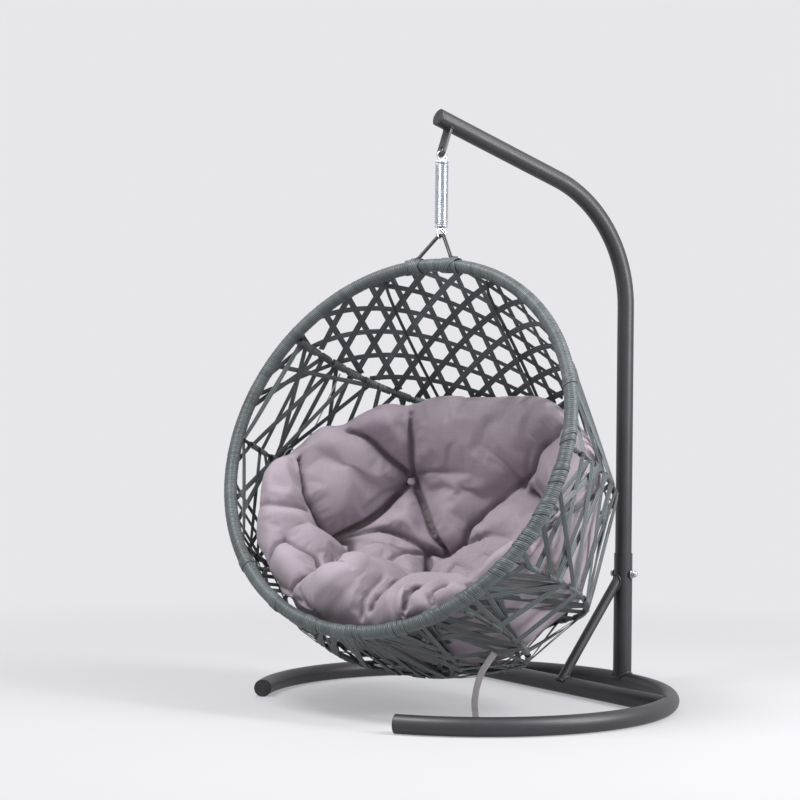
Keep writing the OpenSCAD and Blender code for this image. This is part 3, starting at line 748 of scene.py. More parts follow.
def rim_binding(skein, angle, half, lift, slant, tint, seed):
    """Slanted turns of a strip over the rim's wrap."""
    draw = random.Random(seed)
    turns = max(2, round(2 * half * RIM_R / BINDING_PITCH))
    for k in range(turns):
        middle = angle - half + (k + 0.5) * 2 * half / turns
        tilt = slant + draw.uniform(-0.10, 0.10)
        path, out = [], []
        for j in range(BINDING_STEPS + 1):
            phi = TAU * j / BINDING_STEPS
            a = middle + tilt * math.cos(phi + draw.uniform(-0.02, 0.02)) * WRAP_R / RIM_R
            path.append(rim_offset(a, phi, WRAP_R + lift + 0.0004 * math.sin(3 * phi + k)))
            out.append((math.cos(phi) * math.cos(a), -math.sin(phi), math.cos(phi) * math.sin(a)))
        skein.sweep(np.array(path[:-1]), np.array(out[:-1]), band_outline(BINDING_W, STRIP_T, 0.0006),
                    tint=tint + draw.uniform(-0.08, 0.08), closed=True)


FOOT_ANGLE = math.asin(0.046 / RIM_R)
# Half angle, lift over the wrap, slant, tint and seed of each layer of a foot's binding.
FOOT_LAYERS = ((0.046, 0.0012, 0.35, 0.55, 21), (0.024, 0.0024, -0.7, 0.62, 31))


def make_foot_bindings():
    for side, name in ((-1, "foot_binding_left"), (1, "foot_binding_right")):
        binding = Skein()
        for half, lift, slant, tint, seed in FOOT_LAYERS:
            rim_binding(binding, math.pi / 2 - side * FOOT_ANGLE, half, lift, side * slant, tint,
                        seed + side)
        fit_out(binding.build(name + "_strip", rattan, angle=50), "basket", "rattan", name)


# Places on the rim, in degrees, where the wall's strips are bound on, with half of each
# binding's angle: only the right and lower sides have them.
RIM_BINDINGS = ((19, 1.3), (2, 1.8), (-9, 2.6), (-19, 2.4), (-29, 2.8), (-39, 2.6), (-50, 3.0),
                (-62, 2.4), (-74, 2.6), (-88, 1.8), (-103, 2.2), (-119, 1.6), (-137, 1.4))


def make_rim_bindings():
    bindings = Skein()
    for k, (angle, half) in enumerate(RIM_BINDINGS):
        slant = 0.5 if k % 2 else 0.3
        rim_binding(bindings, math.radians(angle), math.radians(half), 0.0005, slant, 0.50, 50 + k)
    fit_out(bindings.build("rim_bindings", rattan, angle=50), "basket", "rattan")


make_rim_wrap()
make_foot_bindings()
make_rim_bindings()

# ------------------------------------------------------------------ the roof's caning
CELL = 0.064                 # between parallel strips of one family, along the depth
ROOF_STRIP_W = 0.0135
ROOF_EDGE = 0.006            # depth at which a roof strip leaves the rim
ROOF_STEP = 0.012
ROOF_LAYER = 0.0013
UPRIGHT_PITCH, UPRIGHT_SIDE = 0.052, 0.050
CROSSING_SIDE, CROSSING_DEPTH = 0.024, 0.170


def roof_place(x, y):
    """Level and share across for a point of the roof, given its side and depth."""
    def beyond(s):
        w = min(y / max(level_point(1, s)[1], 1e-6), 1)
        return level_point(0, s)[0] * (1 - w) + level_point(1, s)[0] * w > x

    s = sum(bisect(beyond, 1.0, 22)) / 2
    return y / max(level_point(1, s)[1], 1e-6), s


def on_roof(x, y):
    w, s = roof_place(x, y)
    return bool(ROOF_EDGE < y and w < 0.985 and 0.002 < s < 0.998)


def roof_strip(skein, line, layer, tint):
    """A strip along the line of side and depth, wherever it runs on the roof."""
    for inside, run in itertools.groupby(line, lambda spot: on_roof(*spot)):
        places = [roof_place(x, y) for x, y in run]
        if not inside or len(places) < 4:
            continue
        out = np.array([zone_out(0, w, s) for w, s in places])
        path = [skin(w, s) + (layer - STRIP_T) * n for (w, s), n in zip(places, out)]
        skein.sweep(path, out, band_outline(ROOF_STRIP_W, STRIP_T), tint=tint)


def make_roof():
    """Open hexagons: upright strips and two slanting families, one on the other."""
    draw = random.Random(3)
    roof = Skein()
    sides = np.arange(-0.42, 0.43, ROOF_STEP)
    depths = np.arange(0.0, 0.52, ROOF_STEP)
    for k in range(-8, 8):
        x0 = UPRIGHT_SIDE + UPRIGHT_PITCH * k + draw.uniform(-1, 1) * MM
        tilt = draw.uniform(-0.012, 0.012)
        roof_strip(roof, [(x0 + tilt * y, y) for y in depths], ROOF_LAYER, draw.uniform(0.3, 0.6))
    for k in range(-10, 12):
        for slope, layer in ((28 / 52, 0.0), (-36 / 52, -ROOF_LAYER)):
            y0 = CROSSING_DEPTH + CELL * k + draw.uniform(-1.2, 1.2) * MM
            roof_strip(roof, [(x, y0 + slope * (x - CROSSING_SIDE)) for x in sides], layer,
                       draw.uniform(0.3, 0.6))
    fit_out(roof.build("roof_caning", rattan, angle=50), "basket", "rattan", "weave_roof")


make_roof()

# ------------------------------------------------------------------ the walls' strips
LAYERS = MM * np.array((-2.4, -1.2, 0.0, 1.2, 2.4))
LOWER_ZONE_SHADE = 0.84            # painted shade: each zone down the shell is this much darker
FAN_SIDE = 0.80              # past this share across, only uprights and fans are woven
FRONT_SIDE = 0.6             # from this share on, strips turn to face the front
FRONT_TURN = 0.45            # how far they have turned at the rim
STRIP_STEP = 0.022
STRIP_TINTS = (0.15, 0.75)
OVER_ROD = 0.0008            # from a hoop's rod to the middle of the strips that bend over it


def anchor(w, s, layer):
    """Where a strip bends: over a hoop at whole levels, or inside the rim's wrap."""
    if w == 0 or w >= 6 or s <= 0 or s >= 1:
        return skin(min(w, 5.999), s)
    i = int(round(w))
    return hoop_centre(i, s) + (hoop_radius(i) + OVER_ROD + layer * 0.4) * skin_out(i, s)


def wall_strip(skein, stops, layer, tint, twist):
    """A strip that runs straight from stop to stop; each stop is a level and a share across."""
    path, out = [], []
    for n, ((w0, s0), (w1, s1)) in enumerate(zip(stops[:-1], stops[1:])):
        a, b = anchor(w0, s0, layer), anchor(w1, s1, layer)
        i = min(int(min(w0, w1)), 5)
        steps = max(4, int(np.linalg.norm(b - a) / STRIP_STEP))
        for k in range(steps + (n == len(stops) - 2)):
            f = k / steps
            w = min(max(w0 + (w1 - w0) * f, i + 0.02), i + 0.98)
            s = min(max(s0 + (s1 - s0) * f, 0.004), 0.996)
            normal = zone_out(i, w, s)
            if s > FRONT_SIDE:
                turned = FRONT_TURN * (s - FRONT_SIDE) / (1 - FRONT_SIDE)
                normal = unit(normal + turned * np.array((0, -1, 0)))
            ease = min(1, 6 * min(f, 1 - f))
            path.append(a + (b - a) * f + layer * ease * normal)
            out.append(normal)
    path, out = np.array(path), np.array(out)
    across = np.cross(unit(np.gradient(path, axis=0)), out)
    turn = twist * np.sin(np.linspace(0, math.pi, len(path)))
    out = out * np.cos(turn)[:, None] + across * np.sin(turn)[:, None]
    skein.sweep(path, out, band_outline(WALL_STRIP_W, STRIP_T), tint=tint)


def hoop_wrap(skein, i, s, draw, tint):
    """Turn or two of strip round a hoop's rod, where another strip is tied on."""
    radius = WRAPPED_ROD_R + STRIP_T if i == 1 else ROD_R
    half = draw.uniform(0.008, 0.015)
    near, far = level_point(i, max(s - 0.01, 0)), level_point(i, min(s + 0.01, 1))
    span = half / max(0.05, np.linalg.norm(far - near) / 0.02)
    stops = [min(max(s + span * f, 0.01), 0.99) for f in (-1, -0.5, 0, 0.5, 1)]
    wind(skein, np.array([hoop_centre(i, q) for q in stops]), radius + draw.uniform(0.6, 1.9) * MM,
         draw.uniform(0.009, 0.012), turn_share=0.95, tint=tint, seed=draw.random())


def make_wall(name, top, node, uprights, slants, backs, seed, extra=(), fans=()):
    """Strips between hoop top and the next: uprights, slanting ones, a few back, and fans.

    extra lists the stops of single strips. Each fan has its first strip's start and end, what
    every next strip adds to them, and how many strips it has.
    """
    draw = random.Random(seed)
    wall = Skein()
    count = 0
    ties = []

    def lay(stops, tint):
        nonlocal count
        # the strip's tint darkens zone by zone down the shell, as painted shade
        wall_strip(wall, stops, LAYERS[(count * 2) % len(LAYERS)], tint * LOWER_ZONE_SHADE ** (top - 1),
                   twist=draw.uniform(-0.25, 0.25))
        count += 1
        for w, s in stops:
            if 0 < w < 6 and w == int(w) and 0.02 < s < 0.98:
                ties.append((int(w), s))

    for k in range(uprights):
        s = (k + 0.5 + draw.uniform(-0.28, 0.28)) / uprights
        lay([(top, s), (top + 1, min(max(s + draw.uniform(-0.018, 0.018), 0.01), 0.99))],
            draw.uniform(*STRIP_TINTS))
    for amount, low, high in ((slants, -0.15, -0.06), (backs, 0.05, 0.13)):
        for k in range(amount):
            s = (k + 0.5 + draw.uniform(-0.35, 0.35)) / amount
            shift = draw.uniform(low, high)
            end = s + shift
            if fans and top > 1 and max(s, end) > FAN_SIDE:
                continue
            stop = (top + 1, end)
            if end < 0.0:
                stop = (top + s / -shift, 0.0)
            elif end > 1.0:
                stop = (top + (1 - s) / shift, 1.0)
            lay([(top, s), stop], draw.uniform(*STRIP_TINTS))
    for stops in extra:
        lay(stops, draw.uniform(0.35, 0.65))
    for start, start_step, end, end_step, amount in fans:
        for k in range(amount):
            w0, s0 = start[0] + k * start_step[0], start[1] + k * start_step[1]
            w1, s1 = end[0] + k * end_step[0], end[1] + k * end_step[1]
            lay([(w0, s0 + draw.uniform(-0.008, 0.008) * (0.02 < s0 < 0.98)),
                 (w1, s1 + draw.uniform(-0.008, 0.008) * (0.02 < s1 < 0.98))], draw.uniform(0.15, 0.80))
    for i, s in ties:
        if i > top or top == 1:
            hoop_wrap(wall, i, s, draw, draw.uniform(0.2, 0.6))
    fit_out(wall.build(name, rattan, angle=50), "basket", "rattan", node)


make_wall("upper_wall_strips", 1, "weave_upper_wall", 25, 18, 9, 101,
          extra=([(1, 0.13), (1.62, 0.0)], [(1, 0.27), (1.3, 0.0)], [(1, 0.9), (1.7, 1.0)]),
          fans=(((2, 0.80), (0, 0.045), (1.15, 1.0), (0.17, 0), 3),
                ((1, 0.82), (0, 0.04), (1.95, 1.0), (-0.16, 0), 3)))
make_wall("lower_wall_strips", 2, "weave_lower_wall", 25, 18, 8, 102,
          extra=([(2, 0.1), (2.6, 0.0)], [(2, 0.9), (2.7, 1.0)], [(2, 0.84), (2.9, 1.0)]),
          fans=(((3, 0.72), (0, 0.045), (2, 0.80), (0, 0.040), 5),
                ((2, 0.76), (0, 0.055), (3, 0.80), (0, 0.045), 3),
                ((2, 0.90), (0, 0.03), (2.92, 1.0), (-0.22, 0), 2),
                ((3, 0.86), (0, 0.05), (2.30, 1.0), (0.28, 0), 3),
                ((3, 0.20), (0, -0.04), (2.35, 0.0), (0.14, 0), 4)))
make_wall("underside_strips", 3, "weave_underside", 15, 18, 12, 103,
          extra=([(3, 0.12), (3.8, 0.0)], [(3, 0.88), (3.8, 1.0)], [(3, 0.78), (4, 0.95)]),
          fans=(((3, 0.70), (0, 0.042), (3.97, 1.0), (-0.150, 0), 6),
                ((4, 0.70), (0, 0.06), (3.30, 1.0), (0.20, 0), 4),
                ((3, 0.30), (0, -0.05), (3.9, 0.0), (-0.16, 0), 4)))
make_wall("bottom_strips", 4, "weave_bottom", 12, 14, 12, 104,
          extra=([(4, 0.2), (4.9, 0.0)], [(4, 0.8), (4.9, 1.0)]),
          fans=(((4, 0.60), (0, 0.070), (4.95, 1.0), (-0.16, 0), 5),
                ((5, 0.60), (0, 0.06), (4.2, 1.0), (0.13, 0), 5),
                ((4, 0.40), (0, -0.055), (4.95, 0.0), (-0.13, 0), 6)))
make_wall("front_lip_strips", 5, "weave_front_lip", 12, 12, 10, 105)

# ------------------------------------------------------------------ the cushion
CUSHION_UNDER = RIB_UNDER + RIB_R + 0.010
CUSHION_EDGE, CUSHION_FRONT, CUSHION_MID = 0.044, 0.075, 0.128
CUSHION_SIDE, CUSHION_LOW = 0.055, 5.7
CUSHION_FORE, CUSHION_LEFT = 0.62, 0.22
WALL_ROUND = 0.65
WALL_SHARE = 0.12            # one full turn of the rounded edge, in shares of the face
SEAT_CENTRE = np.array((0.005, 0.150, 0.090))
CLOTH_W, CLOTH_H = 0.90, 0.62
CLOTH_EDGE = 0.09            # how much cloth goes round the edge


def clamp01(a):
    return min(max(a, 0.0), 1.0)


TOP_LEVEL = 0.98             # of the cushion's upper edge, at its middle
TOP_LEFT, TOP_RIGHT = (1.22, 2.4), (1.65, 3)    # its fall to each side, and the fall's power


def cushion_base(f, q):
    """Point of the shell behind a spot: f goes down the face and q from left to right."""
    s = CUSHION_SIDE + (1 - 2 * CUSHION_SIDE) * q
    b = abs(s - 0.5) / 0.42
    fall, power = TOP_LEFT if s < 0.5 else TOP_RIGHT
    return skin((TOP_LEVEL + fall * b ** power) * (1 - f) + CUSHION_LOW * f, s)


def cushion_thick(f, q):
    """Thickness of the stuffing: most at the middle, more at the front and on the left."""
    g = math.sqrt(max(0.0, 16 * f * (1 - f) * q * (1 - q)))
    edge = CUSHION_EDGE * (1 - f) + CUSHION_FRONT * f
    middle = CUSHION_MID * (1 + CUSHION_FORE * (2 * f - 1))
    return (edge * (1 - g) + middle * g) * (1 + CUSHION_LEFT * (1 - 2 * q))


CUSHION_MIDDLE = cushion_base(0.5, 0.5)


def cushion_point(f, q, turn=0.0, lift=0.0):
    """Point of the cushion: turn 0 is the face and 1 the underside, round the edge between."""
    a = cushion_base(f, q)
    d = unit(SEAT_CENTRE - a)
    t = cushion_thick(f, q) + lift
    c = a - CUSHION_MIDDLE
    outward = unit(c - (c @ d) * d)
    return (a + (CUSHION_UNDER + t / 2 * (1 + math.cos(math.pi * turn))) * d
            + WALL_ROUND * t / 2 * math.sin(math.pi * turn) * outward)


def cushion_spot(f, q):
    """A spot named by shares of the face; below 0 or above 1 it lies on the rounded edge."""
    inner_f, inner_q = clamp01(f), clamp01(q)
    turn = min(math.hypot(f - inner_f, q - inner_q) / WALL_SHARE, 1)
    return cushion_point(inner_f, inner_q, turn)


# Tufts, where the face is tied down, and the folds that run between them and to the edges.
# Each fold has its depth at both ends and its reach to the sides, then its spots.
TUFTS = {"back_left": (0.34, 0.17), "button": (0.18, 0.32), "middle": (0.40, 0.43),
         "back_right": (0.18, 0.59), "seat": (0.44, 0.40)}
TUFT_DEPTH, TUFT_REACH = 0.010, 0.036
DEEP, WIDE = 0.036, 0.085
FULLNESS = 1.75              # how much deeper than listed the stuffing makes every fold
FOLDS = (
    (DEEP, DEEP, WIDE, (0.34, 0.17), (0.32, 0.21), (0.30, 0.24), (0.26, 0.27), (0.22, 0.29),
     (0.18, 0.32)),
    (DEEP, 0.028, WIDE, (0.34, 0.17), (0.31, 0.14), (0.25, 0.11), (0.20, 0.09), (0.15, 0.07),
     (0.09, 0.06), (0.02, 0.05), (-0.03, 0.05)),
    (0.018, 0.006, 0.035, (0.20, 0.07), (0.15, 0.03), (0.12, -0.03), (0.10, -0.08)),
    (DEEP, 0.030, WIDE, (0.34, 0.17), (0.35, 0.19), (0.37, 0.21), (0.42, 0.21), (0.50, 0.20),
     (0.57, 0.19)),
    (0.028, DEEP, WIDE, (0.55, 0.30), (0.56, 0.24), (0.57, 0.19), (0.58, 0.12), (0.58, 0.05),
     (0.57, 0.01)),
    (DEEP, 0.022, 0.070, (0.57, 0.01), (0.51, 0.05), (0.44, 0.03), (0.37, 0.01), (0.28, -0.02)),
    (0.020, 0.018, 0.035, (0.28, -0.02), (0.32, -0.06), (0.35, -0.10)),
    (DEEP, 0.026, 0.070, (0.57, 0.01), (0.60, -0.03), (0.59, -0.07), (0.57, -0.11)),
    (0.014, 0.012, 0.030, (0.66, -0.08), (0.72, -0.11)),
    (0.024, 0.020, 0.070, (0.18, 0.32), (0.13, 0.31), (0.07, 0.30), (0.03, 0.29), (-0.03, 0.29)),
    (0.030, 0.022, 0.065, (0.17, 0.31), (0.15, 0.29), (0.11, 0.25), (0.05, 0.20), (0.01, 0.16),
     (-0.03, 0.14)),
    (DEEP, DEEP, WIDE, (0.18, 0.32), (0.24, 0.35), (0.34, 0.39), (0.40, 0.43)),
    (DEEP, 0.030, WIDE, (0.40, 0.43), (0.37, 0.47), (0.32, 0.48), (0.29, 0.50), (0.24, 0.53),
     (0.18, 0.59)),
    (0.030, 0.028, WIDE, (0.18, 0.59), (0.14, 0.63), (0.08, 0.67), (0.02, 0.77), (-0.03, 0.79)),
    (0.022, 0.026, 0.060, (0.34, 0.17), (0.34, 0.23), (0.34, 0.27), (0.36, 0.32), (0.40, 0.39)),
    (DEEP, DEEP, 0.050, (0.40, 0.43), (0.40, 0.39), (0.44, 0.40)),
    (0.034, 0.028, WIDE, (0.44, 0.40), (0.50, 0.41), (0.57, 0.43), (0.63, 0.45)),
    (0.018, 0.014, 0.050, (0.40, 0.39), (0.43, 0.35), (0.48, 0.32), (0.55, 0.30)),
    (DEEP, 0.030, WIDE, (0.20, 0.61), (0.26, 0.70), (0.31, 0.78), (0.34, 0.83)),
    (DEEP, 0.028, WIDE, (0.34, 0.83), (0.29, 0.87), (0.21, 0.91), (0.11, 0.94), (0.02, 0.95),
     (-0.03, 0.95)),
    (DEEP, 0.030, WIDE, (0.34, 0.83), (0.40, 0.80), (0.49, 0.79), (0.57, 0.80)),
    (0.028, 0.020, 0.070, (0.57, 0.80), (0.58, 0.90), (0.58, 1.00)),
    (0.026, 0.006, 0.045, (0.37, 0.48), (0.36, 0.52), (0.35, 0.55), (0.35, 0.61)),
    (0.014, 0.008, 0.032, (0.59, 0.50), (0.51, 0.50), (0.53, 0.56)),
    (0.020, 0.004, 0.036, (0.19, 0.59), (0.15, 0.61), (0.07, 0.65)),
    (0.012, 0.002, 0.032, (0.19, 0.59), (0.13, 0.57), (0.08, 0.51)),
    (0.014, 0.003, 0.032, (0.17, 0.33), (0.16, 0.36), (0.16, 0.42), (0.16, 0.48)),
    (0.014, 0.004, 0.040, (0.19, 0.31), (0.21, 0.27), (0.23, 0.25), (0.27, 0.22)),
    (0.020, 0.018, 0.045, (0.63, 0.45), (0.72, 0.46), (0.84, 0.50), (0.98, 0.50), (1.06, 0.50)),
    (0.014, 0.014, 0.024, (0.98, 0.41), (1.04, 0.43), (1.08, 0.45)),
    (0.022, 0.018, 0.050, (0.66, 0.94), (0.62, 1.02), (0.60, 1.08)),
    (0.022, 0.018, 0.050, (0.40, 0.94), (0.36, 1.02), (0.34, 1.08)),
    (0.022, 0.018, 0.050, (0.86, 0.92), (0.86, 1.03), (0.86, 1.08)),
)
FACE_ROWS, FACE_COLS, EDGE_RINGS = 108, 160, 14


CREASE_POWER = 1.6


def crease(gap, reach):
    """1 in the fold, with a steep flank, and 0 from the reach on."""
    return 1 - (1 - (1 - np.clip(gap / reach, 0, 1)) ** CREASE_POWER) ** (1 / CREASE_POWER)


def fold_line(spots):
    return smooth_path(np.array([cushion_spot(f, q) for f, q in spots]), 4)


def fold_parts(line, first, last, points):
    """For each stretch of a fold, its listed depth beside every point and the gap to it."""
    share = np.linspace(0, 1, len(line))
    for a, b, s0, s1 in zip(line[:-1], line[1:], share[:-1], share[1:]):
        span = b - a
        t = np.clip((points - a) @ span / max(span @ span, 1e-12), 0, 1)
        gap = np.linalg.norm(points - (a + t[:, None] * span), axis=1)
        yield first + (last - first) * (s0 + (s1 - s0) * t), gap


def fold_depth(points):
    """How far the folds and tufts draw each point in, and how near the nearest one is."""
    total = np.zeros(len(points))
    nearest = np.full(len(points), 9.0)
    for first, last, reach, *spots in FOLDS:
        best = np.zeros(len(points))
        for depth, gap in fold_parts(fold_line(spots), first, last, points):
            best = np.maximum(best, FULLNESS * depth * crease(gap, 1.2 * reach))
            nearest = np.minimum(nearest, gap)
        total += best ** 4
    total = total ** 0.25
    for f, q in TUFTS.values():
        gap = np.linalg.norm(points - cushion_spot(f, q), axis=1)
        total += TUFT_DEPTH * crease(gap, TUFT_REACH)
        nearest = np.minimum(nearest, gap - 0.004)
    return total, nearest


def cushion_shape():
    """Points, faces, cloth coordinates and turns of the cushion before its stuffing swells."""
    rows = np.linspace(0, 1, FACE_ROWS + 1)
    cols = np.linspace(0, 1, FACE_COLS + 1)
    loop = ([(0, k) for k in range(FACE_COLS)] + [(j, FACE_COLS) for j in range(FACE_ROWS)]
            + [(FACE_ROWS, k) for k in range(FACE_COLS, 0, -1)]
            + [(j, 0) for j in range(FACE_ROWS, 0, -1)])
    face = [(j, k) for j in range(FACE_ROWS + 1) for k in range(FACE_COLS + 1)]
    width = FACE_COLS + 1
    size = len(face)
    low = size + len(loop) * (EDGE_RINGS - 1)
    points, cloth, turn = [], [], []
    for ring in range(EDGE_RINGS + 1):
        share = ring / EDGE_RINGS
        spread = CLOTH_EDGE * ring / EDGE_RINGS if 0 < ring < EDGE_RINGS else 0
        for j, k in loop if 0 < ring < EDGE_RINGS else face:
            f, q = rows[j], cols[k]
            points.append(cushion_point(f, q, share))
            turn.append(share)
            cloth.append((q * CLOTH_W + (spread if k == FACE_COLS else -spread if k == 0 else 0),
                          f * CLOTH_H + (spread if j == FACE_ROWS else -spread if j == 0 else 0)))

    def ring_index(r, m):
        j, k = loop[m % len(loop)]
        if r == 0:
            return j * width + k
        if r == EDGE_RINGS:
            return low + j * width + k
        return size + (r - 1) * len(loop) + m % len(loop)

    faces = []
    for j in range(FACE_ROWS):
        for k in range(FACE_COLS):
            a = j * width + k
            faces.append((a, a + 1, a + width + 1, a + width))
            faces.append((low + a, low + a + width, low + a + width + 1, low + a + 1))
    for r in range(EDGE_RINGS):
        for m in range(len(loop)):
            faces.append((ring_index(r, m), ring_index(r + 1, m), ring_index(r + 1, m + 1),
                          ring_index(r, m + 1)))
    return np.array(points), faces, np.array(cloth), np.array(turn)


def edge_pairs(faces):
    pairs = set()
    for face in faces:
        for a, b in zip(face, face[1:] + face[:1]):
            pairs.add((min(a, b), max(a, b)))
    return np.array(sorted(pairs))


def relax(points, pairs, share, rounds):
    """Moves every point toward the middle of its neighbours, by its own share."""
    number = np.zeros(len(points))
    for column in (0, 1):
        np.add.at(number, pairs[:, column], 1)
    for _ in range(rounds):
        total = np.zeros_like(points)
        np.add.at(total, pairs[:, 0], points[pairs[:, 1]])
        np.add.at(total, pairs[:, 1], points[pairs[:, 0]])
        points = points + (total / number[:, None] - points) * share.reshape(-1, 1)
    return points


def point_normals(points, faces):
    faces = np.array(faces)
    one = points[faces[:, 2]] - points[faces[:, 0]]
    two = points[faces[:, 3]] - points[faces[:, 1]]
    normal = np.cross(one, two)
    total = np.zeros_like(points)
    for column in range(4):
        np.add.at(total, faces[:, column], normal)
    return unit(total)


PILLOW_RISE = 0.028
UNDER_PUFF = 0.005
PIN_REACH = 0.009            # round folds and tufts, the cloth is held where it was cut


def rise_from(turn, first, span):
    return np.clip((turn - first) / span, 0, 1)


def make_cushion():
    start, faces, cloth, turn = cushion_shape()
    start = relax(start, edge_pairs(faces), np.where(turn == 1, 0.3, 0.5), 14)
    normals = point_normals(start, faces)
    if (normals * (start - start.mean(0))).sum() < 0:
        normals = -normals
    sink, nearest = fold_depth(start)
    upper = np.clip((0.95 - turn) / 0.5, 0, 1)
    lower = rise_from(turn, 0.6, 0.3)
    gather = np.sin(cloth[:, 0] * 41 + 2.2 * np.sin(cloth[:, 1] * 17)) * np.sin(cloth[:, 1] * 29 + 1.3)
    rise = upper * (PILLOW_RISE - sink) + lower * UNDER_PUFF * gather
    cover = make_piece("cushion_cover", start + rise[:, None] * normals, faces,
                       cloth[np.array(faces).reshape(-1)], cushion_cloth, 180, start=start)
    pinned = np.clip(1.5 - nearest / PIN_REACH, 0, 1)
    swell(cover, np.maximum(pinned, rise_from(turn, 0.55, 0.25)))
    smooth_cover(cover)
    sharpen(cover)
    cover.data.transform(BASKET)
    fit_out(cover, "basket", "cushion_cloth", "cushion")
    return cover


SWELL_CAP = 0.010
SWELL_FRAMES = 20
CLOTH_RULES = {"quality": 6, "mass": 0.25, "tension_stiffness": 14, "compression_stiffness": 14,
               "shear_stiffness": 6, "bending_stiffness": 1.5, "shrink_min": -0.03,
               "vertex_group_mass": "held", "use_pressure": True, "uniform_pressure_force": 3.0}


def swell(cover, pinned):
    """Lets the stuffing press the cover out between its folds, with a little spare cloth."""
    group = cover.vertex_groups.new(name="held")
    for index, weight in enumerate(pinned):
        if weight > 0.01:
            group.add([index], float(weight), "REPLACE")
    before = np.empty(len(cover.data.vertices) * 3)
    cover.data.vertices.foreach_get("co", before)
    cloth = cover.modifiers.new("stuffing", "CLOTH")
    for key, value in CLOTH_RULES.items():
        setattr(cloth.settings, key, value)
    cloth.settings.effector_weights.gravity = 0
    cloth.collision_settings.use_collision = False
    cloth.point_cache.frame_start = 1
    cloth.point_cache.frame_end = SWELL_FRAMES + 2
    scene = bpy.context.scene
    for step in range(1, SWELL_FRAMES + 1):
        scene.frame_set(step)
    shaped = cover.evaluated_get(bpy.context.evaluated_depsgraph_get())
    after = np.empty_like(before)
    shaped.data.vertices.foreach_get("co", after)
    cover.modifiers.remove(cloth)
    cover.vertex_groups.remove(group)
    scene.frame_set(1)
    move = (after - before).reshape(-1, 3)
    far = np.linalg.norm(move, axis=1, keepdims=True)
    move *= np.minimum(1, SWELL_CAP / np.maximum(far, 1e-9))
    cover.data.vertices.foreach_set("co", (before.reshape(-1, 3) + move).reshape(-1))
    cover.data.update()


def apply_modifiers(piece):
    """Leaves the piece's mesh as its modifiers make it."""
    bpy.ops.object.select_all(action="DESELECT")
    bpy.context.view_layer.objects.active = piece
    piece.select_set(True)
    for modifier in list(piece.modifiers):
        bpy.ops.object.modifier_apply(modifier=modifier.name)
    piece.select_set(False)


def smooth_cover(cover):
    finer = cover.modifiers.new("finer", "SUBSURF")
    finer.levels = 1
    finer.render_levels = 1
    apply_modifiers(cover)
    cover.data.shade_smooth()


SHARP_DEPTH, SHARP_REACH = 0.020, 0.010
SHADE_REACH = 0.0075         # how wide the painted shade along a fold spreads


def sharpen(cover):
    """Draws a narrow groove along every fold, where the cloth of two pillows meets, and stores painted
    shade beside it for the cloth's colour.
    """
    mesh = cover.data
    count = len(mesh.vertices)
    start, place, normal = (np.empty(count * 3) for _ in range(3))
    mesh.attributes["start"].data.foreach_get("vector", start)
    mesh.vertices.foreach_get("co", place)
    mesh.vertices.foreach_get("normal", normal)
    start = start.reshape(-1, 3)
    groove = np.zeros(count)
    shade = np.zeros(count)
    for first, last, _, *spots in FOLDS:
        line = fold_line(spots)
        inside = (start > line.min(0) - SHADE_REACH) & (start < line.max(0) + SHADE_REACH)
        close = np.flatnonzero(inside.all(1))
        for depth, gap in fold_parts(line, first, last, start[close]):
            depth = depth / DEEP
            groove[close] = np.maximum(groove[close], depth * crease(gap, SHARP_REACH))
            # painted shade beside the fold, darkest at its line
            shade[close] = np.maximum(shade[close], depth * np.clip(1 - gap / SHADE_REACH, 0, 1) ** 1.3)
    place = place.reshape(-1, 3) - SHARP_DEPTH * groove[:, None] * normal.reshape(-1, 3)
    mesh.vertices.foreach_set("co", place.reshape(-1))
    mesh.attributes.remove(mesh.attributes["start"])
    mesh.attributes.new("deep", "FLOAT", "POINT").data.foreach_set("value", shade)
    mesh.update()


cushion_cover = make_cushion()


# ------------------------------------------------------------------ turned and cut hardware
def place_primitive(kind, name, material, matrix, **sizes):
    """Adds a primitive at the origin, then carries its mesh to its place."""
    bpy.ops.object.select_all(action="DESELECT")
    getattr(bpy.ops.mesh, "primitive_%s_add" % kind)(**sizes)
    piece = bpy.context.active_object
    piece.name = piece.data.name = name
    piece.data.materials.append(material)
    piece.data.transform(matrix)
    piece.select_set(False)
    return piece


def bevel(piece, width):
    edge = piece.modifiers.new("edge", "BEVEL")
    edge.width = width
    edge.segments = 2
    edge.limit_method = "ANGLE"
    edge.angle_limit = math.radians(35)
    apply_modifiers(piece)
    piece.data.shade_smooth()
    piece.data.set_sharp_from_angle(angle=math.radians(40))
    return piece


def merge_pieces(name, pieces):
    bpy.ops.object.select_all(action="DESELECT")
    for piece in pieces:
        piece.select_set(True)
    bpy.context.view_layer.objects.active = pieces[0]
    bpy.ops.object.join()
    whole = bpy.context.active_object
    whole.name = whole.data.name = name
    whole.select_set(False)
    return whole


BUTTON_R = 0.0092


def make_button(cover):
    """Cloth-covered button in its tuft: a domed disc, made as a flattened sphere."""
    low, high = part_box("cushion_button")
    middle = (Vector(low) + Vector(high)) / 2
    spot = in_world([cushion_point(*TUFTS["button"])])[0]
    lift = in_world([cushion_point(*TUFTS["button"], lift=0.01)])[0]
    facing = Vector(unit(lift - spot).tolist())
    hit = cover.closest_point_on_mesh(middle - 0.02 * facing)[1]
    seat = middle + ((hit - middle).dot(facing) * 0.5) * facing
    turn = facing.to_track_quat("Z", "Y").to_matrix().to_4x4()
    button = place_primitive("uv_sphere", "tuft_button", cushion_cloth,
                             Matrix.Translation(seat) @ turn @ Matrix.Diagonal((1, 1, 0.45, 1)),
                             radius=BUTTON_R, segments=32, ring_count=16)
    button.data.shade_smooth()
    fit_out(button, "basket", "cushion_cloth", "cushion_button")


make_button(cushion_cover)

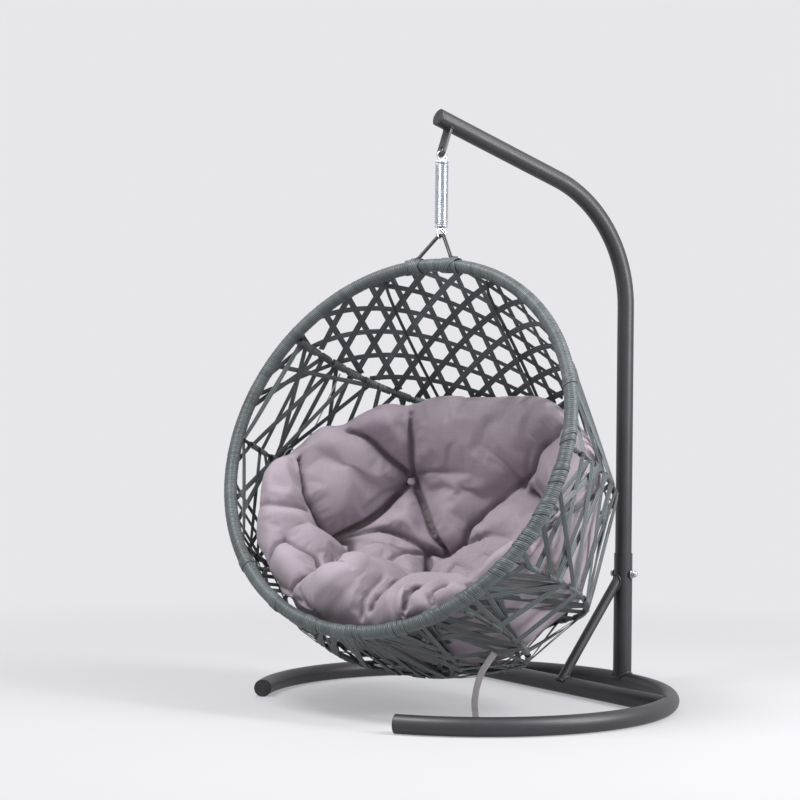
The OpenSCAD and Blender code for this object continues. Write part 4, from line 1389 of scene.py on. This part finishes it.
BOLT_Z = 0.264
RING_R = 0.442
TUBE_R = 0.019
POST_R = 0.0211
BOLT_TURN = math.radians(18)
BOLT_LINE = (Matrix.Translation((0, RING_R, BOLT_Z)) @ Matrix.Rotation(BOLT_TURN, 4, "Z")
             @ Matrix.Rotation(math.pi / 2, 4, "Y"))


def along_bolt(distance):
    return BOLT_LINE @ Matrix.Translation((0, 0, distance))


def turned(name, distance, radius, depth, vertices, edge):
    """Disc or prism on the bolt's line, with its edges broken."""
    return bevel(place_primitive("cylinder", name, zinc, along_bolt(distance), radius=radius,
                                 depth=depth, vertices=vertices), edge)


def make_dome_nut():
    """Flanged dome nut: a washer face, six flats and a dome."""
    flange = turned("flange", 0.0250, 0.0105, 0.002, 40, 0.0005)
    flats = turned("flats", 0.0285, 0.0092, 0.006, 6, 0.0005)
    dome = place_primitive("uv_sphere", "dome", zinc, along_bolt(0.0310), radius=0.0074,
                           segments=32, ring_count=16)
    dome.data.shade_smooth()
    fit_out(merge_pieces("dome_nut_turned", [flange, flats, dome]), "stand", "zinc", "dome_nut")


def make_bolt():
    head = turned("head", -0.0271, 0.0088, 0.0062, 6, 0.0006)
    shank = turned("shank", 0.0, 0.005, 0.048, 32, 0.0004)
    fit_out(merge_pieces("bolt_turned", [head, shank]), "stand", "zinc", "lock_bolt")


make_dome_nut()
make_bolt()


# ------------------------------------------------------------------ welds on the stand
def bead(skein, path, radius, seed, closed=True):
    """Rippled weld bead along a path."""
    draw = random.Random(seed)
    length = travelled(path)
    at = np.linspace(0, length[-1], max(24, int(length[-1] / 0.0011)))
    fine = resample(path, length, at)
    if closed:
        fine = fine[:-1]
        at = at[:-1]
    phase = draw.uniform(0, TAU)
    ripple = 1 + 0.13 * np.sin(TAU * at / 0.0042 + phase) + 0.06 * np.sin(TAU * at / 0.019 + 2 * phase)
    skein.sweep(fine, (0.31, 0.22, 0.93), round_outline(radius, 10), scale=ripple, closed=closed)


CROSS_Y = 0.275
BRACE_R = 0.011
BRACE_FOOT = np.array((0, CROSS_Y - 0.013, 0.026))
BRACE_TOP = np.array((0, RING_R - 0.002, 0.270))
ARM_SLOPE = math.radians(18)
LUG_W, LUG_T, LUG_DROP = 0.028, 0.0055, 0.063
FULL_TURN = np.linspace(0, TAU, 73)


def weld_post(welds):
    """Saddle bead where the lower post stands on the ring."""
    x, y = POST_R * np.cos(FULL_TURN), RING_R + POST_R * np.sin(FULL_TURN)
    off = np.hypot(x, y) - RING_R
    z = TUBE_R + np.sqrt(np.maximum(TUBE_R ** 2 - off ** 2, 0.006 ** 2))
    bead(welds, np.stack([x * 1.02, RING_R + (y - RING_R) * 1.02, z + 0.001], 1), 0.0032, 1)


def weld_cross_tube(welds, side):
    """Round one end of the cross tube, but not where it lies on the ground."""
    y, z = CROSS_Y + TUBE_R * np.cos(FULL_TURN), TUBE_R + TUBE_R * np.sin(FULL_TURN)
    reach = RING_R - TUBE_R * np.abs(np.cos(FULL_TURN))
    x = side * (np.sqrt(reach ** 2 - y ** 2) - 0.0008)
    clear = z > 0.004
    path = np.roll(np.stack([x, y, z], 1)[clear], -int(np.argmax(~clear)), axis=0)
    bead(welds, path, 0.0027, 2 + side, closed=False)


def weld_brace(welds):
    """Beads at the brace's top, round the post, and at its foot on the cross tube."""
    line = BRACE_TOP - BRACE_FOOT
    line = line / np.linalg.norm(line)
    side_way = np.cross(line, (1, 0, 0))
    rings = BRACE_R * (np.cos(FULL_TURN)[:, None] * np.array((1, 0, 0))
                       + np.sin(FULL_TURN)[:, None] * side_way)
    target = RING_R - np.sqrt(POST_R ** 2 - rings[:, 0] ** 2)
    t = (target - BRACE_FOOT[1] - rings[:, 1]) / line[1]
    bead(welds, BRACE_FOOT + rings * 1.03 + (t[:, None] - 0.0006) * line, 0.0025, 5)
    start = BRACE_FOOT + rings - np.array((0, CROSS_Y, TUBE_R))
    b = start[:, 1:] @ line[1:]
    c = (start[:, 1:] ** 2).sum(1) - TUBE_R ** 2
    t = -b + np.sqrt(np.maximum(b ** 2 - c, 0))
    bead(welds, BRACE_FOOT + rings * 1.03 + (t[:, None] + 0.0006) * line, 0.0025, 6)


def weld_lug(welds):
    """Bead round the lug's root, on the underside of the arm."""
    hole = np.array(joint_rows["swing_sideways"]["pos_m"])
    up = np.array((0, math.sin(ARM_SLOPE), math.cos(ARM_SLOPE)))
    along = np.array((0, -math.cos(ARM_SLOPE), math.sin(ARM_SLOPE)))
    middle = hole + LUG_DROP * up
    xs = np.linspace(-LUG_W / 2, LUG_W / 2, 15)
    half = LUG_T / 2 + 0.0008
    ring = [(x, half) for x in xs] + [(x, -half) for x in xs[::-1]] + [(xs[0], half)]
    path = np.array([middle + np.array((x, 0, 0)) + a * along - math.sqrt(TUBE_R ** 2 - x * x) * up
                     for x, a in ring])
    bead(welds, path, 0.0022, 7)


def make_welds():
    welds = Skein()
    weld_post(welds)
    for side in (-1, 1):
        weld_cross_tube(welds, side)
    weld_brace(welds)
    weld_lug(welds)
    fit_out(welds.build("stand_welds", powder_coat, basket=False, angle=180), "stand", "powder_coat")


make_welds()

# ------------------------------------------------------------------ spring and hanger
HOOK_R = 0.011
COIL_TURNS = 33


def make_spring():
    low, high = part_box("spring_coil")
    radius = (high[0] - low[0]) / 2 - WIRE_R
    low, high, hang = low[2], high[2], PIVOT.y
    steps = COIL_TURNS * 28
    share = np.arange(steps + 1) / steps
    turn = TAU * COIL_TURNS * share - math.pi / 2
    z = low + WIRE_R + (high - low - 2 * WIRE_R) * share
    path = np.stack([radius * np.cos(turn), hang + radius * np.sin(turn), z], 1)
    coil = Skein()
    coil.sweep(path, (0, 0, 1), round_outline(WIRE_R * 0.985, 8))
    piece = coil.build("spring_helix", zinc, basket=False, angle=180)
    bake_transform(piece)
    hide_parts("spring_coil")


def make_end_hook(name, body, node, side):
    """Half a turn of the coil, then the wire bends in and closes a ring over the axis."""
    low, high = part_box(node)
    radius = (high[0] - low[0]) / 2 - WIRE_R
    turn_z = low[2] + WIRE_R if side > 0 else high[2] - WIRE_R
    ring_z = high[2] - WIRE_R - HOOK_R if side > 0 else low[2] + WIRE_R + HOOK_R
    half = [(radius * math.cos(a), radius * math.sin(a), turn_z)
            for a in np.linspace(-math.pi / 2 - TAU * 0.92, -math.pi / 2 - 0.5, 40)]
    lead = [(-radius * 0.30, -radius * 0.86, turn_z + side * 0.0006),
            (-radius * 0.06, -radius * 0.62, turn_z + side * 0.0022)]
    ring = [(0, -HOOK_R * math.sin(a), ring_z - side * HOOK_R * math.cos(a))
            for a in np.linspace(math.radians(-128), math.radians(170), 40)]
    path = smooth_path(np.array(half + lead + ring[4:]) + np.array((0, PIVOT.y, 0)), 3)
    hook = Skein()
    hook.sweep(path, (0.05, 0.02, 1), round_outline(WIRE_R, 12))
    fit_out(hook.build(name, zinc, basket=False, angle=180), body, "zinc", node)


HANGER_HALF = 0.042
HANGER_BEND_R = 0.011
HANGER_ROD_R = 0.004
FOOT_LIFT = 0.0125           # from the rim tube's centre line to the underside of a foot


def make_hanger():
    """Bent rod from foot to foot over a round apex."""
    apex = np.array((0, RIM_FORWARD * math.cos(RIM_TILT) - HANGER_RISE * math.sin(RIM_TILT),
                     RIM_R + RIM_FORWARD * math.sin(RIM_TILT) + HANGER_RISE * math.cos(RIM_TILT)))
    foot_rise = FOOT_LIFT + HANGER_ROD_R - 0.0003
    a = math.asin(HANGER_HALF / RIM_R)
    foot_x, foot_z = (RIM_R + foot_rise) * math.sin(a), (RIM_R + foot_rise) * math.cos(a)
    down = np.array((0, 0, foot_z)) - apex
    drop = np.linalg.norm(down)
    down = down / drop
    lean = math.atan(drop / foot_x)
    arc = [(HANGER_BEND_R * math.sin(k * lean / 8), HANGER_BEND_R * (1 - math.cos(k * lean / 8)))
           for k in range(-8, 9)]
    end_x, end_z = arc[-1]
    leg = [(foot_x + (end_x - foot_x) * f, drop + (end_z - drop) * f)
           for f in np.linspace(0.10, 0.94, 8)]
    # The feet lie along the rim's wrap and end a little past the legs.
    foot = [(foot_x + 0.014, drop - 0.0004), (foot_x + 0.004, drop - 0.0012)]
    flat = [(-x, z) for x, z in foot + leg] + arc + (foot + leg)[::-1]
    knots = np.array([np.array((x, apex[1], apex[2])) + z * down for x, z in flat])
    rod = Skein()
    rod.sweep(smooth_path(knots, 4), (0, 1, 0.2), round_outline(HANGER_ROD_R, 14))
    fit_out(rod.build("hanger_rod", powder_coat, angle=180), "basket", "powder_coat", "hanger_loop")


make_spring()
make_end_hook("spring_hook_upper_wire", "upper_hook", "spring_upper_hook", 1)
make_end_hook("spring_hook_lower_wire", "lower_hook", "spring_lower_hook", -1)
make_hanger()


# ------------------------------------------------------------------ floor and light
BACKDROP = (0.800, 0.795, 0.830)


def seen_directly(tree):
    """1 for rays from the camera, a glossy surface or through glass, else 0."""
    rays = add_node(tree, "ShaderNodeLightPath").outputs
    seen = math_node(tree, "MAXIMUM", rays["Is Camera Ray"], rays["Is Glossy Ray"])
    return math_node(tree, "MAXIMUM", seen, rays["Is Transmission Ray"])


def blend_shaders(tree, share, lit, shown, output):
    """From the lit shader to the one shown plainly, by a share."""
    blend = add_node(tree, "ShaderNodeMixShader", Fac=share)
    feed(tree, blend.inputs[1], lit)
    feed(tree, blend.inputs[2], shown)
    set_inputs(tree, output, Surface=blend.outputs["Shader"])


def make_floor():
    """Lit floor that fades into the backdrop's colour away from the stand."""
    bpy.ops.object.select_all(action="DESELECT")
    bpy.ops.mesh.primitive_plane_add(size=40, location=(0, 0, 0))
    floor = bpy.context.active_object
    floor.name = "floor"
    material, tree, shader = new_material("floor_paint")
    coords = object_coords(tree)
    set_inputs(tree, shader, Base_Color=(0.545, 0.54, 0.565, 1), Roughness=0.7,
               Specular_IOR_Level=0.2, Normal=bump(tree, noise(tree, coords, 7, 4), 0.002, 0.15))
    plain = add_node(tree, "ShaderNodeEmission", Color=(*BACKDROP, 1))
    length = add_node(tree, "ShaderNodeVectorMath", operation="LENGTH")
    feed(tree, length.inputs[0], coords)
    far = add_node(tree, "ShaderNodeMapRange", interpolation_type="SMOOTHSTEP",
                   Value=length.outputs["Value"], From_Min=0.7, From_Max=2.6, To_Min=0.42)
    share = math_node(tree, "MULTIPLY", seen_directly(tree), far.outputs["Result"])
    blend_shaders(tree, share, shader.outputs["BSDF"], plain.outputs["Emission"],
                  tree.nodes["Material Output"])
    floor.data.materials.append(material)
    floor.select_set(False)


def make_world():
    """Soft light from above, and a plain backdrop where the world itself is seen."""
    world = bpy.data.worlds.new("studio")
    bpy.context.scene.world = world
    world.use_nodes = True
    tree = world.node_tree
    tree.nodes.clear()
    toward = add_node(tree, "ShaderNodeSeparateXYZ",
                      Vector=add_node(tree, "ShaderNodeTexCoord").outputs["Generated"])
    overhead = math_node(tree, "MAXIMUM", toward.outputs["Z"], 0.0)
    light = add_node(tree, "ShaderNodeBackground", Color=(0.96, 0.98, 1.0, 1),
                     Strength=math_node(tree, "MULTIPLY_ADD", overhead, 0.50, 0.10))
    shown = add_node(tree, "ShaderNodeBackground", Color=(*BACKDROP, 1), Strength=1.0)
    blend_shaders(tree, seen_directly(tree), light.outputs[0], shown.outputs[0],
                  add_node(tree, "ShaderNodeOutputWorld"))


def add_lamp(name, at, toward, size, power, colour=(1, 1, 1)):
    data = bpy.data.lights.new(name, "AREA")
    data.shape = "DISK"
    data.size = size
    data.energy = power
    data.color = colour
    lamp = bpy.data.objects.new(name, data)
    bpy.context.scene.collection.objects.link(lamp)
    lamp.location = at
    lamp.rotation_euler = (Vector(toward) - Vector(at)).to_track_quat("-Z", "Y").to_euler()


make_floor()
make_world()
add_lamp("key", (2.5, 1.6, 3.3), (0, 0, 0.55), 1.2, 108)
add_lamp("side", (2.3, 1.45, 1.3), (0, 0, 0.7), 0.7, 48)
add_lamp("top", (0.2, -1.9, 3.7), (0, 0, 0.4), 1.4, 134)
add_lamp("fill", (1.2, -3.6, 1.5), (0, 0, 0.6), 2.0, 10, (0.96, 0.98, 1.0))
bpy.context.scene.view_settings.view_transform = "Standard"
